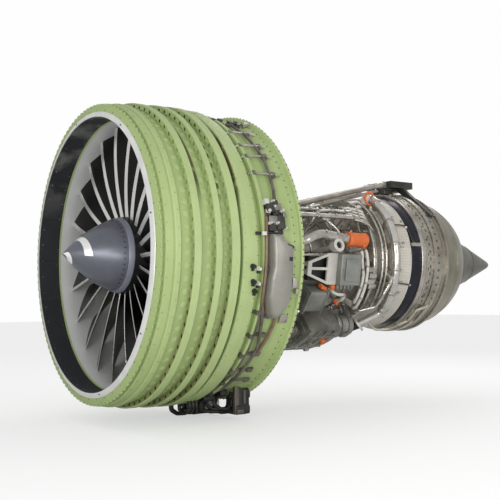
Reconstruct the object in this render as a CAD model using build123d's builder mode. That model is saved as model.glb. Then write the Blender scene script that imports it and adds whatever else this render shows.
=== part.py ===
from build123d import *
from math import cos, hypot, radians, sin, sqrt
import os

os.makedirs("parts", exist_ok=True)

# The shaft axis is X, pointing aft. Z is up and +Y is the right-hand side of the engine.
# The origin is the centre of the front flange face. Sizes are in millimetres.

# Fits shared by every seat
seat_gap = 0.2          # between pieces that sit on a curved wall
running_gap = 0.08      # radial clearance in a bearing
mating_gap = 0.3        # radial clearance between pieces of different spools

# Fan
blade_count = 22
fan_tip_r = 1565
tip_gap = 10
fan_lead_x = 440        # leading edge of a blade tip
root_lead_x = 455       # leading edge of a blade root
mid_lead_x = 415
root_chord = 430
mid_chord = 545
tip_chord = 590
root_stagger = 22       # degrees from the shaft axis
mid_stagger = 46
tip_stagger = 64
root_thick = 64
tip_thick = 14
root_camber = 0.09
tip_camber = 0.02
edge_width = 50         # metal leading edge
blade_stations = 5
first_blade_angle = 27.6
root_sink = 40          # blade blanks start this far under the hub line, then are trimmed to it

# Hub line under the blades
hub_front_x = 330
hub_front_r = 428
hub_rear_x = 940
hub_rear_r = 572
disk_rim_thick = 28
disk_web_x = 850

# Nose cone
spinner_tip_x = -300
spinner_mid_x = 10
spinner_mid_r = 268
spinner_wall = 14

# Fan case
ring_length = 50
ring_height = 75
case_wall = 12
case_flange_end_x = 92
case_flange_height = 111    # heights of the case stand on its bore
case_skin = 41
front_band_end_x = 262
front_band_height = 159
hoops = ((398, 82, 191), (650, 72, 199), (841, 100, 203), (990, 200, 193))  # start, width, height
rear_skin = 115
rear_flange_width = 36
rear_flange_height = 181
case_rear_x = 1800
liner_front_x = 228
liner_rear_x = 765
liner_thick = 22

# Guide vanes and core inlet
vane_count = 38
vane_lead_x = 1230
vane_chord = 250
vane_thick = 26
vane_angle = 12
vane_sweep = 110
splitter_lip_x = 985
core_outer_r = 800      # inner wall of the bypass duct
frame_front_x = 1195
splitter_wall = 44
core_duct_height = 150
hub_front_face_x = 1240
duct_end_x = 1640       # core air turns inwards behind this face
frame_web = 60
strut_count = 8
strut_sink = 22         # the ends of a strut run this far into the walls that it joins
strut_thick = 46
strut_length = 180
booster_rear_x = 1180
booster_thick = 60

# Core casings
compressor_rear_x = 3150
compressor_r = 505
compressor_wall = 22
combustor_r = 660
combustor_wall = 26
turbine_front_x = 3720
turbine_front_r = 822
turbine_rear_x = 4700
turbine_rear_r = 985
turbine_wall = 30
flange_height = 24      # bolted flanges of the core casings
flange_width = 28
shield_front_x = 4045
shield_rear_x = 4300
shield_wall = 12
rear_frame_end_x = 4950
rear_hub_r = 284
rear_strut_length = 120
rear_strut_thick = 24
nozzle_step = 17        # the nozzle starts this far inside the outer wall of the rear frame
nozzle_mid_x = 5250
nozzle_mid_r = 900
nozzle_exit_x = 5520
nozzle_exit_r = 765
nozzle_wall = 10
plug_base_x = 5030
plug_base_r = 640
plug_shoulder_x = 5500
plug_shoulder_r = 600
plug_nose_x = 6900
plug_nose_r = 62
plug_tip_x = 6970

# Shafts and rotors
fan_shaft_bore_r = 52
fan_shaft_r = 90
journal_r = 150         # fan shaft and front of the high pressure spool
thick_shaft_rear_x = 1460
front_bearing_x = 1390
core_bearing_x = 1720
bearing_width = 80
bearing_ring = 52
core_drum_front_x = 1960
core_drum_rear_x = 3080
core_drum_r = 340
core_disk_x = 3480
core_disk_width = 110
core_disk_r = 500
rear_bearing_x = 4800
fan_turbine_front_x = 3800
fan_turbine_drum_r = 640
fan_turbine_drum_wall = 40
fan_turbine_rear_x = 4600
fan_turbine_web = 90
turbine_blade_count = 40
turbine_blade_chord = 90
turbine_blade_thick = 16
turbine_blade_angle = 35

# Mounts
beam_front_x = 4590
beam_length = 440
beam_width = 520
beam_top_z = 1172
beam_thick = 96
bolt_r = 17
beam_bolt_x = 300
beam_bolt_y = 240
hanger_thick = 60
hanger_setback = 70     # from the rear edge of the rear frame to the hanger
hanger_top_y = (100, 255)
hanger_foot_angles = (38, 50)   # above the -Y side, and the same on the +Y side
hanger_foot_height = 40
front_mount_length = 150
front_mount_width = 460
front_mount_drop = 10
front_mount_depth = 210
front_bolt_x = 76
front_bolt_y = 340
link_r = 34
link_front_y = 330
link_front_z = 480
link_rear_y = 150
clevis_length = 68
clevis_width = 48
clevis_height = 102

# Equipment on the core
gearbox_front_x = 2700
gearbox_length = 520
gearbox_inner_r = 850
gearbox_outer_r = 1215
gearbox_half_angle = 38
gearbox_angle = -90     # angles of equipment are measured up from the left side
leg_angle = 21          # each side of the gearbox's middle
leg_width = 90
starter_angle = -92
starter_r = 135
starter_length = 300
generator_angle = -60
generator_r = 165
generator_length = 330
hydraulic_pump_angle = -120
fuel_pump_angle = -66
pump_r = 105
pump_length = 260
accessory_r = 1020      # distance of accessory shafts from the engine axis

control_front_x = 3000
control_length = 330
control_width = 400
control_depth = 130
control_r = 880
control_angle = -10
lid_inset = 60
lid_height = 26
frame_bracket_front_x = 2535
bracket_wall = 26
bracket_r = 890
bracket_front_width = 168
bracket_taper = 330     # length of the widening front part
bracket_rim = 34
bracket_leg_angle = 3.4
window_front = 60       # from the front edge of the bracket
window_length = 250

duct_r = 62
duct_front_x = 2430
duct_middle_x = 2720
duct_rear_x = 3140
duct_line_r = 960
duct_foot_angle = 10
duct_middle_angle = 17
duct_angle = 13.6
duct_foot_bend = 110
duct_bend = 400
cap_r = 98
cap_length = 320
manifold_r = 62
manifold_x = 3960
manifold_top_angle = 62
manifold_low_angle = -48
manifold_bends = 5
manifold_bend_r = 420
manifold_line_r = 985
manifold_foot_x = 3625
manifold_foot_angle = -64
manifold_foot_line_r = 1040
manifold_foot_bend_r = 110
manifold_top_bend_r = 66
manifold_low_bend_r = 160
fuel_nozzle_count = 18
fuel_nozzle_size = 44
fuel_nozzle_height = 90
fuel_nozzle_x = 3320
tube_start_r = 640
tube_rise_x = 2000
tube_line_x = 2320
tube_fall_x = 3460
tube_lead = 70          # straight into the turbine case
tube_end_r = 740
tube_bend = 60
tubes = (               # radius, angles of the ends and of the middle run, distance out of that run
    (30, 30, 33, 960),
    (22, 42, 43, 900),
    (18, -2, 1, 850),
    (30, 150, 147, 960),
    (22, 178, 180, 880),
    (22, 205, 208, 900),
)
fluid_box_x = 2560
fluid_box_length = 330
fluid_box_width = 300
fluid_box_depth = 200
fluid_box_r = 800
fluid_box_angle = -36

# Equipment on the fan case
tank_depth = 156
tank_clearance = 4      # behind the harness raceway
tank_neck_width = 160
tank_body_width = 254
tank_lean = 34          # the body stands this far behind the neck
tank_top_z = 140
tank_neck_z = -170
tank_shoulder_z = -337
tank_belly_z = -600
tank_bottom_z = -756
tank_corner = 66
tank_round = 40
raceway_x = 1262
raceway_width = 46
raceway_height = 44
raceway_span = 160
valve_block_length = 240
valve_block_width = 330
valve_block_depth = 110
valve_block_angle = 11
hose_plate_x = 1215
hose_plate_length = 285
hose_plate_width = 260
hose_plate_depth = 40
connector_count = 3
connector_r = 38
connector_length = 95
hose_r = 17
hose_foot_x = 1050
hose_foot_pitch = 45
hose_foot_angle = -73
hose_drop = 84          # below the end of a connector
hose_rise = 95          # straight out of the band before the first bend
hose_bend = 52
mast_length = 250
mast_depth = 240
mast_thick = 90

# Sizes that follow from the ones above
liner_bore_r = fan_tip_r + tip_gap
case_bore_r = liner_bore_r + liner_thick
ring_bore_r = case_bore_r - case_wall
ring_outer_r = ring_bore_r + ring_height
case_flange_r = case_bore_r + case_flange_height
case_skin_r = case_bore_r + case_skin
front_band_r = case_bore_r + front_band_height
rear_skin_r = case_bore_r + rear_skin
rear_flange_r = case_bore_r + rear_flange_height
tank_outer_r = rear_skin_r + tank_depth
duct_outer_r = core_outer_r - splitter_wall
duct_inner_r = duct_outer_r - core_duct_height
front_mount_top_z = core_outer_r - front_mount_drop
rear_flange_x = case_rear_x - rear_flange_width
gearbox_rear_x = gearbox_front_x + gearbox_length
bearing_seat_r = journal_r + bearing_ring
case_seat_r = rear_skin_r + seat_gap
core_seat_r = compressor_r + seat_gap


# Radius at x on the straight line through two (x, radius) points
def on_line(x, start, end):
    return start[1] + (x - start[0]) * (end[1] - start[1]) / (end[0] - start[0])


# Curve through a root, a middle and a tip value
def along(span, root, middle, tip):
    return root + span * (4 * middle - 3 * root - tip) + span**2 * (2 * root - 4 * middle + 2 * tip)


# A closed half section of (x, radius) points turned about the shaft axis
def turned(*points):
    with BuildSketch(Plane.XZ) as half_section:
        with BuildLine():
            Polyline(*points, close=True)
        make_face()
    revolve(half_section.sketch, axis=Axis.X)


# A plane square to the radius at an angle above the -Y side, with its own x along the shaft
def side_plane(x, angle, radius):
    out = Vector(0, -cos(radians(angle)), sin(radians(angle)))
    return Plane(origin=Vector(x, 0, 0) + out * radius, x_dir=(1, 0, 0), z_dir=out)


def hub_radius(x):
    return on_line(x, (hub_front_x, hub_front_r), (hub_rear_x, hub_rear_r))


def turbine_radius(x):
    return on_line(x, (turbine_front_x, turbine_front_r), (turbine_rear_x, turbine_rear_r))


# Place of a blade surface point, span and chord both from 0 to 1, side -1, 0 or 1
def blade_point(span, chord_share, side):
    chord = along(span, root_chord, mid_chord, tip_chord)
    stagger = radians(along(span, root_stagger, mid_stagger, tip_stagger))
    thick = root_thick + (tip_thick - root_thick) * span
    camber = root_camber + (tip_camber - root_camber) * span
    bulge = 4 * chord_share * (1 - chord_share)
    rise = chord * camber * bulge + side * thick / 2 * sqrt(bulge)
    lead_x = along(span, root_lead_x, mid_lead_x, fan_lead_x)
    x = lead_x + chord_share * chord * cos(stagger) - rise * sin(stagger)
    across = (chord_share - 0.5) * chord * sin(stagger) + rise * cos(stagger)
    root_r = hub_radius(x) - root_sink
    radius = root_r + span * (fan_tip_r - root_r)
    turn = radians(first_blade_angle) + across / radius
    return Vector(x, radius * cos(turn), radius * sin(turn))


# A closed solid of flat facets over a stack of like sections
def faceted(sections):
    count = len(sections[0])
    corners = []
    for low, high in zip(sections, sections[1:]):
        for i in range(count):
            j = (i + 1) % count
            corners.append((low[i], low[j], high[j]))
            corners.append((low[i], high[j], high[i]))
    for end in (sections[0], sections[-1]):
        corners.extend((end[0], end[i], end[i + 1]) for i in range(1, count - 1))
    faces = [Face(Wire.make_polygon(three, close=True)) for three in corners]
    return Solid(Shell(faces))


# A blade blank cut back to the hub line
def trimmed(blank):
    with BuildPart(mode=Mode.PRIVATE) as hub:
        turned(
            (hub_front_x, 0),
            (hub_front_x, hub_front_r + seat_gap),
            (hub_rear_x, hub_rear_r + seat_gap),
            (hub_rear_x, 0),
        )
    return (blank - hub.part).solid()


# Copies of a solid spread evenly round the shaft axis
def around(solid, count):
    return [solid.rotate(Axis.X, 360 * k / count) for k in range(count)]


# Intake attach ring
with BuildPart() as inlet_ring:
    turned(
        (0, ring_bore_r),
        (0, ring_outer_r),
        (ring_length, ring_outer_r),
        (ring_length, ring_bore_r),
    )
inlet_ring.part.label = "inlet_ring"
export_step(inlet_ring.part, "parts/inlet_ring.step")

# Fan case with its stiffening hoops and rear flange
case_outline = [
    (ring_length, case_bore_r),
    (ring_length, case_flange_r),
    (case_flange_end_x, case_flange_r),
    (case_flange_end_x, front_band_r),
    (front_band_end_x, front_band_r),
    (front_band_end_x, case_skin_r),
]
for hoop_x, hoop_width, hoop_height in hoops:
    hoop_r = case_bore_r + hoop_height
    after_r = rear_skin_r if hoop_x == hoops[-1][0] else case_skin_r
    case_outline += [
        (hoop_x, case_skin_r),
        (hoop_x, hoop_r),
        (hoop_x + hoop_width, hoop_r),
        (hoop_x + hoop_width, after_r),
    ]
case_outline += [
    (rear_flange_x, rear_skin_r),
    (rear_flange_x, rear_flange_r),
    (case_rear_x, rear_flange_r),
    (case_rear_x, case_bore_r),
]
with BuildPart() as fan_case:
    turned(*case_outline)
fan_case.part.label = "fan_case"
export_step(fan_case.part, "parts/fan_case.step")

# Rub strip round the blade tips
with BuildPart() as abradable_liner:
    turned(
        (liner_front_x, liner_bore_r),
        (liner_front_x, case_bore_r - seat_gap),
        (liner_rear_x, case_bore_r - seat_gap),
        (liner_rear_x, liner_bore_r),
    )
abradable_liner.part.label = "abradable_liner"
export_step(abradable_liner.part, "parts/abradable_liner.step")

# Nose cone, a hollow shell on the front of the fan disk
with BuildPart() as spinner:
    turned(
        (spinner_tip_x, 0),
        (spinner_mid_x, spinner_mid_r),
        (hub_front_x, hub_front_r),
        (hub_front_x, hub_front_r - spinner_wall),
        (spinner_tip_x + 2 * spinner_wall, 0),
    )
spinner.part.label = "spinner"
export_step(spinner.part, "parts/spinner.step")

# Fan disk with the hub line that the blades stand on
with BuildPart() as fan_disk:
    turned(
        (hub_front_x, hub_front_r),
        (hub_rear_x, hub_rear_r),
        (hub_rear_x, journal_r + seat_gap),
        (disk_web_x, journal_r + seat_gap),
        (disk_web_x, hub_front_r - disk_rim_thick),
        (hub_front_x, hub_front_r - disk_rim_thick),
    )
fan_disk.part.label = "fan_disk"
export_step(fan_disk.part, "parts/fan_disk.step")

# Wide-chord fan blades and their metal leading edges
spans = [k / (blade_stations - 1) for k in range(blade_stations)]


def edge_share(span):
    return edge_width / along(span, root_chord, mid_chord, tip_chord)


blade_rings = [
    [
        blade_point(span, edge_share(span), 1),
        blade_point(span, 0.5, 1),
        blade_point(span, 1, 0),
        blade_point(span, 0.5, -1),
        blade_point(span, edge_share(span), -1),
    ]
    for span in spans
]
edge_rings = [[ring[-1], ring[0], blade_point(span, 0, 0)] for span, ring in zip(spans, blade_rings)]

with BuildPart() as fan_blades:
    add(around(trimmed(faceted(blade_rings)), blade_count))
fan_blades.part.label = "fan_blades"
export_step(fan_blades.part, "parts/fan_blades.step")

with BuildPart() as blade_leading_edges:
    add(around(trimmed(faceted(edge_rings)), blade_count))
blade_leading_edges.part.label = "blade_leading_edges"
export_step(blade_leading_edges.part, "parts/blade_leading_edges.step")

# Booster drum behind the fan disk
with BuildPart() as booster_rotor:
    turned(
        (hub_rear_x, hub_rear_r),
        (booster_rear_x, hub_rear_r),
        (booster_rear_x, hub_rear_r - booster_thick),
        (hub_rear_x, hub_rear_r - booster_thick),
    )
booster_rotor.part.label = "booster_rotor"
export_step(booster_rotor.part, "parts/booster_rotor.step")

# Splitter that parts core air from bypass air
with BuildPart() as flow_splitter:
    turned(
        (splitter_lip_x, duct_outer_r),
        (frame_front_x, core_outer_r),
        (frame_front_x, duct_outer_r),
    )
flow_splitter.part.label = "flow_splitter"
export_step(flow_splitter.part, "parts/flow_splitter.step")

# Guide vanes behind the fan, standing between the hub frame and the case
vane_side = vane_chord * sin(radians(vane_angle)) / 2 + vane_thick
vane_tip_z = sqrt((case_bore_r - seat_gap) ** 2 - vane_side**2)
with BuildPart() as vane_blank:
    with BuildSketch(Plane.XY.offset(core_outer_r + seat_gap)):
        with BuildLine():
            half = vane_chord / 2
            nose = Vector(-half, 0).rotate(Axis.Z, vane_angle)
            back = Vector(0, vane_thick / 2).rotate(Axis.Z, vane_angle)
            shift = Vector(vane_lead_x + half, 0)
            Polyline(shift + nose, shift + back, shift - nose, shift - back, close=True)
        make_face()
    lift = vane_tip_z - core_outer_r - seat_gap
    extrude(amount=hypot(lift, vane_sweep), dir=(vane_sweep, 0, lift))
with BuildPart() as outlet_vanes:
    add(around(vane_blank.part.solid(), vane_count))
outlet_vanes.part.label = "outlet_vanes"
export_step(outlet_vanes.part, "parts/outlet_vanes.step")

# Fan hub frame, one casting of two walls joined by struts
with BuildPart() as fan_hub_frame:
    turned(
        (frame_front_x, duct_outer_r),
        (frame_front_x, core_outer_r),
        (case_rear_x, core_outer_r),
        (case_rear_x, compressor_r - compressor_wall),
        (case_rear_x - frame_web, compressor_r - compressor_wall),
        (case_rear_x - frame_web, duct_outer_r),
    )
    turned(
        (hub_front_face_x, duct_inner_r),
        (duct_end_x, duct_inner_r),
        (duct_end_x, bearing_seat_r + frame_web),
        (case_rear_x, bearing_seat_r + frame_web),
        (case_rear_x, bearing_seat_r),
        (hub_front_face_x, bearing_seat_r),
    )
    with BuildSketch(Plane.XY.offset(duct_inner_r - strut_sink)):
        with Locations((duct_end_x - strut_length, 0)):
            Rectangle(strut_length, strut_thick)
    frame_strut = extrude(amount=duct_outer_r - duct_inner_r + 2 * strut_sink)
    add(around(frame_strut.solid(), strut_count)[1:])
fan_hub_frame.part.label = "fan_hub_frame"
export_step(fan_hub_frame.part, "parts/fan_hub_frame.step")

# Compressor case
with BuildPart() as compressor_case:
    turned(
        (case_rear_x, compressor_r),
        (compressor_rear_x, compressor_r),
        (compressor_rear_x, compressor_r - compressor_wall),
        (case_rear_x, compressor_r - compressor_wall),
    )
compressor_case.part.label = "compressor_case"
export_step(compressor_case.part, "parts/compressor_case.step")

# Combustor case, a drum between the compressor and the turbine
with BuildPart() as combustor_case:
    turned(
        (compressor_rear_x, compressor_r - compressor_wall),
        (compressor_rear_x, combustor_r),
        (turbine_front_x, combustor_r),
        (turbine_front_x, combustor_r - combustor_wall),
        (compressor_rear_x + combustor_wall, combustor_r - combustor_wall),
        (compressor_rear_x + combustor_wall, compressor_r - compressor_wall),
    )
combustor_case.part.label = "combustor_case"
export_step(combustor_case.part, "parts/combustor_case.step")

# Fuel nozzle stems round the combustor case
with BuildPart() as nozzle_stem:
    with BuildSketch(Plane.XY.offset(combustor_r + seat_gap)):
        with Locations((fuel_nozzle_x, 0)):
            Rectangle(fuel_nozzle_size, fuel_nozzle_size)
    extrude(amount=fuel_nozzle_height)
with BuildPart() as fuel_nozzles:
    add(around(nozzle_stem.part.solid(), fuel_nozzle_count))
fuel_nozzles.part.label = "fuel_nozzles"
export_step(fuel_nozzles.part, "parts/fuel_nozzles.step")

# Low pressure turbine case, a widening cone behind a front wall
with BuildPart() as turbine_case:
    turned(
        (turbine_front_x, combustor_r - combustor_wall),
        (turbine_front_x, turbine_front_r),
        (turbine_rear_x - flange_width, turbine_radius(turbine_rear_x - flange_width)),
        (turbine_rear_x - flange_width, turbine_rear_r + flange_height),
        (turbine_rear_x, turbine_rear_r + flange_height),
        (turbine_rear_x, turbine_rear_r - turbine_wall),
        (turbine_front_x + turbine_wall, turbine_front_r - turbine_wall),
        (turbine_front_x + turbine_wall, combustor_r - combustor_wall),
    )
turbine_case.part.label = "turbine_case"
export_step(turbine_case.part, "parts/turbine_case.step")

# Heat shield round the front of the turbine case
with BuildPart() as turbine_shield:
    turned(
        (shield_front_x, turbine_radius(shield_front_x) + seat_gap),
        (shield_front_x, turbine_radius(shield_front_x) + shield_wall),
        (shield_rear_x, turbine_radius(shield_rear_x) + shield_wall),
        (shield_rear_x, turbine_radius(shield_rear_x) + seat_gap),
    )
turbine_shield.part.label = "turbine_shield"
export_step(turbine_shield.part, "parts/turbine_shield.step")

# Turbine rear frame, an outer ring and a bearing hub joined by struts
hub_ring_r = fan_shaft_r + bearing_ring
frame_inner_r = turbine_rear_r - turbine_wall
with BuildPart() as turbine_rear_frame:
    turned(
        (turbine_rear_x, turbine_rear_r + flange_height),
        (turbine_rear_x + flange_width, turbine_rear_r + flange_height),
        (turbine_rear_x + flange_width, turbine_rear_r),
        (rear_frame_end_x - flange_width, turbine_rear_r),
        (rear_frame_end_x - flange_width, turbine_rear_r + flange_height),
        (rear_frame_end_x, turbine_rear_r + flange_height),
        (rear_frame_end_x, frame_inner_r),
        (turbine_rear_x, frame_inner_r),
    )
    turned(
        (rear_bearing_x - bearing_width, rear_hub_r),
        (rear_bearing_x + bearing_width, rear_hub_r),
        (rear_bearing_x + bearing_width, hub_ring_r),
        (rear_bearing_x - bearing_width, hub_ring_r),
    )
    with BuildSketch(Plane.XY.offset(rear_hub_r - strut_sink)):
        with Locations((rear_bearing_x, 0)):
            Rectangle(rear_strut_length, rear_strut_thick)
    frame_strut = extrude(amount=frame_inner_r - rear_hub_r + 2 * strut_sink)
    add(around(frame_strut.solid(), strut_count)[1:])
turbine_rear_frame.part.label = "turbine_rear_frame"
export_step(turbine_rear_frame.part, "parts/turbine_rear_frame.step")

# Core exhaust nozzle
with BuildPart() as exhaust_nozzle:
    turned(
        (rear_frame_end_x, turbine_rear_r - nozzle_step),
        (nozzle_mid_x, nozzle_mid_r),
        (nozzle_exit_x, nozzle_exit_r),
        (nozzle_mid_x, nozzle_mid_r - nozzle_wall),
        (rear_frame_end_x, turbine_rear_r - nozzle_step - nozzle_wall),
    )
exhaust_nozzle.part.label = "exhaust_nozzle"
export_step(exhaust_nozzle.part, "parts/exhaust_nozzle.step")

# Exhaust plug on the hub of the rear frame
with BuildPart() as exhaust_plug:
    turned(
        (rear_bearing_x + bearing_width, 0),
        (rear_bearing_x + bearing_width, rear_hub_r),
        (plug_base_x, plug_base_r),
        (plug_shoulder_x, plug_shoulder_r),
        (plug_nose_x, plug_nose_r),
        (plug_tip_x, 0),
    )
exhaust_plug.part.label = "exhaust_plug"
export_step(exhaust_plug.part, "parts/exhaust_plug.step")

# Bearings: fan shaft, front of the high pressure spool and rear of the low pressure shaft
with BuildPart() as shaft_bearings:
    for middle_x, shaft_r in (
        (front_bearing_x, journal_r),
        (core_bearing_x, journal_r),
        (rear_bearing_x, fan_shaft_r),
    ):
        turned(
            (middle_x - bearing_width / 2, shaft_r + running_gap),
            (middle_x - bearing_width / 2, shaft_r + bearing_ring - seat_gap),
            (middle_x + bearing_width / 2, shaft_r + bearing_ring - seat_gap),
            (middle_x + bearing_width / 2, shaft_r + running_gap),
        )
shaft_bearings.part.label = "shaft_bearings"
export_step(shaft_bearings.part, "parts/shaft_bearings.step")

# Low pressure shaft, one hollow shaft from the fan disk to the rear bearing
with BuildPart() as fan_shaft:
    turned(
        (disk_web_x, fan_shaft_bore_r),
        (disk_web_x, journal_r),
        (thick_shaft_rear_x, journal_r),
        (thick_shaft_rear_x, fan_shaft_r),
        (rear_bearing_x + bearing_width / 2, fan_shaft_r),
        (rear_bearing_x + bearing_width / 2, fan_shaft_bore_r),
    )
fan_shaft.part.label = "fan_shaft"
export_step(fan_shaft.part, "parts/fan_shaft.step")

# Low pressure turbine rotor with its last row of blades
blade_foot_r = fan_turbine_drum_r + seat_gap
blade_side = turbine_blade_chord * sin(radians(turbine_blade_angle)) / 2 + turbine_blade_thick
turbine_inner_r = turbine_radius(fan_turbine_rear_x - turbine_blade_chord) - turbine_wall
with BuildPart() as fan_turbine_rotor:
    turned(
        (fan_turbine_front_x, fan_turbine_drum_r),
        (fan_turbine_rear_x, fan_turbine_drum_r),
        (fan_turbine_rear_x, fan_shaft_r + seat_gap),
        (fan_turbine_rear_x - fan_turbine_web, fan_shaft_r + seat_gap),
        (fan_turbine_rear_x - fan_turbine_web, fan_turbine_drum_r - fan_turbine_drum_wall),
        (fan_turbine_front_x, fan_turbine_drum_r - fan_turbine_drum_wall),
    )
fan_turbine_rotor.part.label = "fan_turbine_rotor"
export_step(fan_turbine_rotor.part, "parts/fan_turbine_rotor.step")

blade_top_z = sqrt((turbine_inner_r - tip_gap) ** 2 - blade_side**2)
with BuildPart() as turbine_blade:
    with BuildSketch(Plane.XY.offset(blade_foot_r)):
        with Locations((fan_turbine_rear_x - turbine_blade_chord / 2, 0)):
            Rectangle(turbine_blade_chord, turbine_blade_thick, rotation=turbine_blade_angle)
    extrude(amount=blade_top_z - blade_foot_r)
with BuildPart() as turbine_blades:
    add(around(turbine_blade.part.solid(), turbine_blade_count))
turbine_blades.part.label = "turbine_blades"
export_step(turbine_blades.part, "parts/turbine_blades.step")

# High pressure compressor rotor, from its front journal to the rear of the drum
core_bore_r = fan_shaft_r + running_gap
with BuildPart() as compressor_rotor:
    turned(
        (duct_end_x, journal_r),
        (core_drum_front_x, journal_r),
        (core_drum_front_x, core_drum_r),
        (core_drum_rear_x, core_drum_r),
        (core_drum_rear_x, fan_shaft_r + mating_gap),
        (duct_end_x, fan_shaft_r + mating_gap),
    )
compressor_rotor.part.label = "compressor_rotor"
export_step(compressor_rotor.part, "parts/compressor_rotor.step")

# High pressure turbine disk on the same spool, running on the low pressure shaft at its rear
with BuildPart() as core_turbine_disk:
    turned(
        (core_drum_rear_x, journal_r),
        (core_disk_x, journal_r),
        (core_disk_x, core_disk_r),
        (core_disk_x + core_disk_width, core_disk_r),
        (core_disk_x + core_disk_width, core_bore_r),
        (core_drum_rear_x, core_bore_r),
    )
core_turbine_disk.part.label = "core_turbine_disk"
export_step(core_turbine_disk.part, "parts/core_turbine_disk.step")

# Rear mount beam over the turbine frame, with its bolt holes and hangers
beam_mid_x = beam_front_x + beam_length / 2
with BuildPart() as rear_mount_beam:
    with BuildSketch(Plane.XY.offset(beam_top_z - beam_thick)):
        with Locations((beam_mid_x, 0)):
            Rectangle(beam_length, beam_width)
        with Locations((beam_mid_x, 0)):
            with GridLocations(beam_bolt_x, beam_bolt_y, 2, 2):
                Circle(bolt_r, mode=Mode.SUBTRACT)
    extrude(amount=beam_thick)
rear_mount_beam.part.label = "rear_mount_beam"
export_step(rear_mount_beam.part, "parts/rear_mount_beam.step")

hanger_x = rear_frame_end_x - hanger_setback - hanger_thick
hanger_seat_r = turbine_rear_r + seat_gap
hanger_top_z = beam_top_z - beam_thick
with BuildPart() as mount_hangers:
    with BuildSketch(Plane.YZ.offset(hanger_x)):
        for hand in (-1, 1):
            low, high = [Vector(hand * cos(radians(a)), sin(radians(a))) for a in hanger_foot_angles]
            with BuildLine():
                Polyline(
                    (hand * hanger_top_y[1], hanger_top_z),
                    low * (hanger_seat_r + hanger_foot_height),
                    low * (hanger_seat_r - hanger_foot_height),
                    high * (hanger_seat_r - hanger_foot_height),
                    (hand * hanger_top_y[0], hanger_top_z),
                    close=True,
                )
            make_face()
        Circle(hanger_seat_r, mode=Mode.SUBTRACT)
    extrude(amount=hanger_thick)
mount_hangers.part.label = "mount_hangers"
export_step(mount_hangers.part, "parts/mount_hangers.step")

# Front mount block on the rear face of the hub frame
with BuildPart() as front_mount:
    with BuildSketch(Plane.XY.offset(front_mount_top_z - front_mount_depth)):
        with Locations((case_rear_x + front_mount_length / 2, 0)):
            Rectangle(front_mount_length, front_mount_width)
            with GridLocations(front_bolt_x, front_bolt_y, 2, 2):
                Circle(bolt_r, mode=Mode.SUBTRACT)
    extrude(amount=front_mount_depth)
front_mount.part.label = "front_mount"
export_step(front_mount.part, "parts/front_mount.step")

# Thrust links from the hub frame up to the rear mount
link_start_x = case_rear_x + clevis_length / 2
link_end_x = beam_front_x - clevis_length / 2
link_rear_z = beam_top_z - beam_thick / 2
with BuildPart() as thrust_links:
    for hand in (-1, 1):
        start = Vector(link_start_x, hand * link_front_y, link_front_z)
        end = Vector(link_end_x, hand * link_rear_y, link_rear_z)
        with BuildSketch(Plane(origin=start, z_dir=end - start)):
            Circle(link_r)
        extrude(amount=(end - start).length)
        with Locations((link_start_x, hand * link_front_y, link_front_z)):
            Box(clevis_length, clevis_width, clevis_height)
        with Locations((link_end_x, hand * link_rear_y, link_rear_z)):
            Box(clevis_length, clevis_width, beam_thick)
thrust_links.part.label = "thrust_links"
export_step(thrust_links.part, "parts/thrust_links.step")

# Accessory gearbox, a curved casting under the compressor with two hanger legs
with BuildPart() as accessory_gearbox:
    with BuildSketch(Plane.YZ.offset(gearbox_front_x)):
        with BuildLine():
            first = gearbox_angle - gearbox_half_angle
            CenterArc((0, 0), gearbox_outer_r, first, 2 * gearbox_half_angle)
            CenterArc((0, 0), gearbox_inner_r, first, 2 * gearbox_half_angle)
            for end_angle in (first, first + 2 * gearbox_half_angle):
                ray = Vector(1, 0).rotate(Axis.Z, end_angle)
                Line(ray * gearbox_inner_r, ray * gearbox_outer_r)
        make_face()
    extrude(amount=gearbox_length)
    for side in (-1, 1):
        leg_plane = side_plane(gearbox_front_x + leg_width, gearbox_angle + side * leg_angle, core_seat_r)
        with BuildSketch(leg_plane):
            Rectangle(leg_width, leg_width)
        extrude(amount=gearbox_inner_r + leg_width / 2 - core_seat_r)
accessory_gearbox.part.label = "accessory_gearbox"
export_step(accessory_gearbox.part, "parts/accessory_gearbox.step")

# Units bolted to the faces of the gearbox
units = (
    ("generator", generator_r, generator_length, generator_angle, gearbox_rear_x, 1),
    ("starter", starter_r, starter_length, starter_angle, gearbox_rear_x, 1),
    ("hydraulic_pump", pump_r, pump_length, hydraulic_pump_angle, gearbox_rear_x, 1),
    ("fuel_pump", pump_r, pump_length, fuel_pump_angle, gearbox_front_x, -1),
)
for unit_name, unit_r, unit_length, unit_angle, face_x, way in units:
    middle = side_plane(face_x, unit_angle, accessory_r).origin
    with BuildPart() as unit:
        with BuildSketch(Plane(origin=middle, x_dir=(0, 1, 0), z_dir=(way, 0, 0))):
            Circle(unit_r)
        extrude(amount=unit_length)
    unit.part.label = unit_name
    export_step(unit.part, f"parts/{unit_name}.step")

# Service tubes from the hub frame aft to the front wall of the turbine case
with BuildPart() as service_tubes:
    for tube_r, start_angle, line_angle, line_r in tubes:
        tube_points = [
            side_plane(case_rear_x, start_angle, tube_start_r).origin,
            side_plane(tube_rise_x, start_angle, tube_start_r).origin,
            side_plane(tube_line_x, line_angle, line_r).origin,
            side_plane(tube_fall_x, line_angle, line_r).origin,
            side_plane(turbine_front_x - tube_lead, start_angle, tube_end_r).origin,
            side_plane(turbine_front_x, start_angle, tube_end_r).origin,
        ]
        with BuildLine() as tube_path:
            FilletPolyline(*tube_points, radius=tube_bend)
        with BuildSketch(Plane(origin=tube_points[0], z_dir=(1, 0, 0))):
            Circle(tube_r)
        sweep(path=tube_path.wire())
service_tubes.part.label = "service_tubes"
export_step(service_tubes.part, "parts/service_tubes.step")

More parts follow.
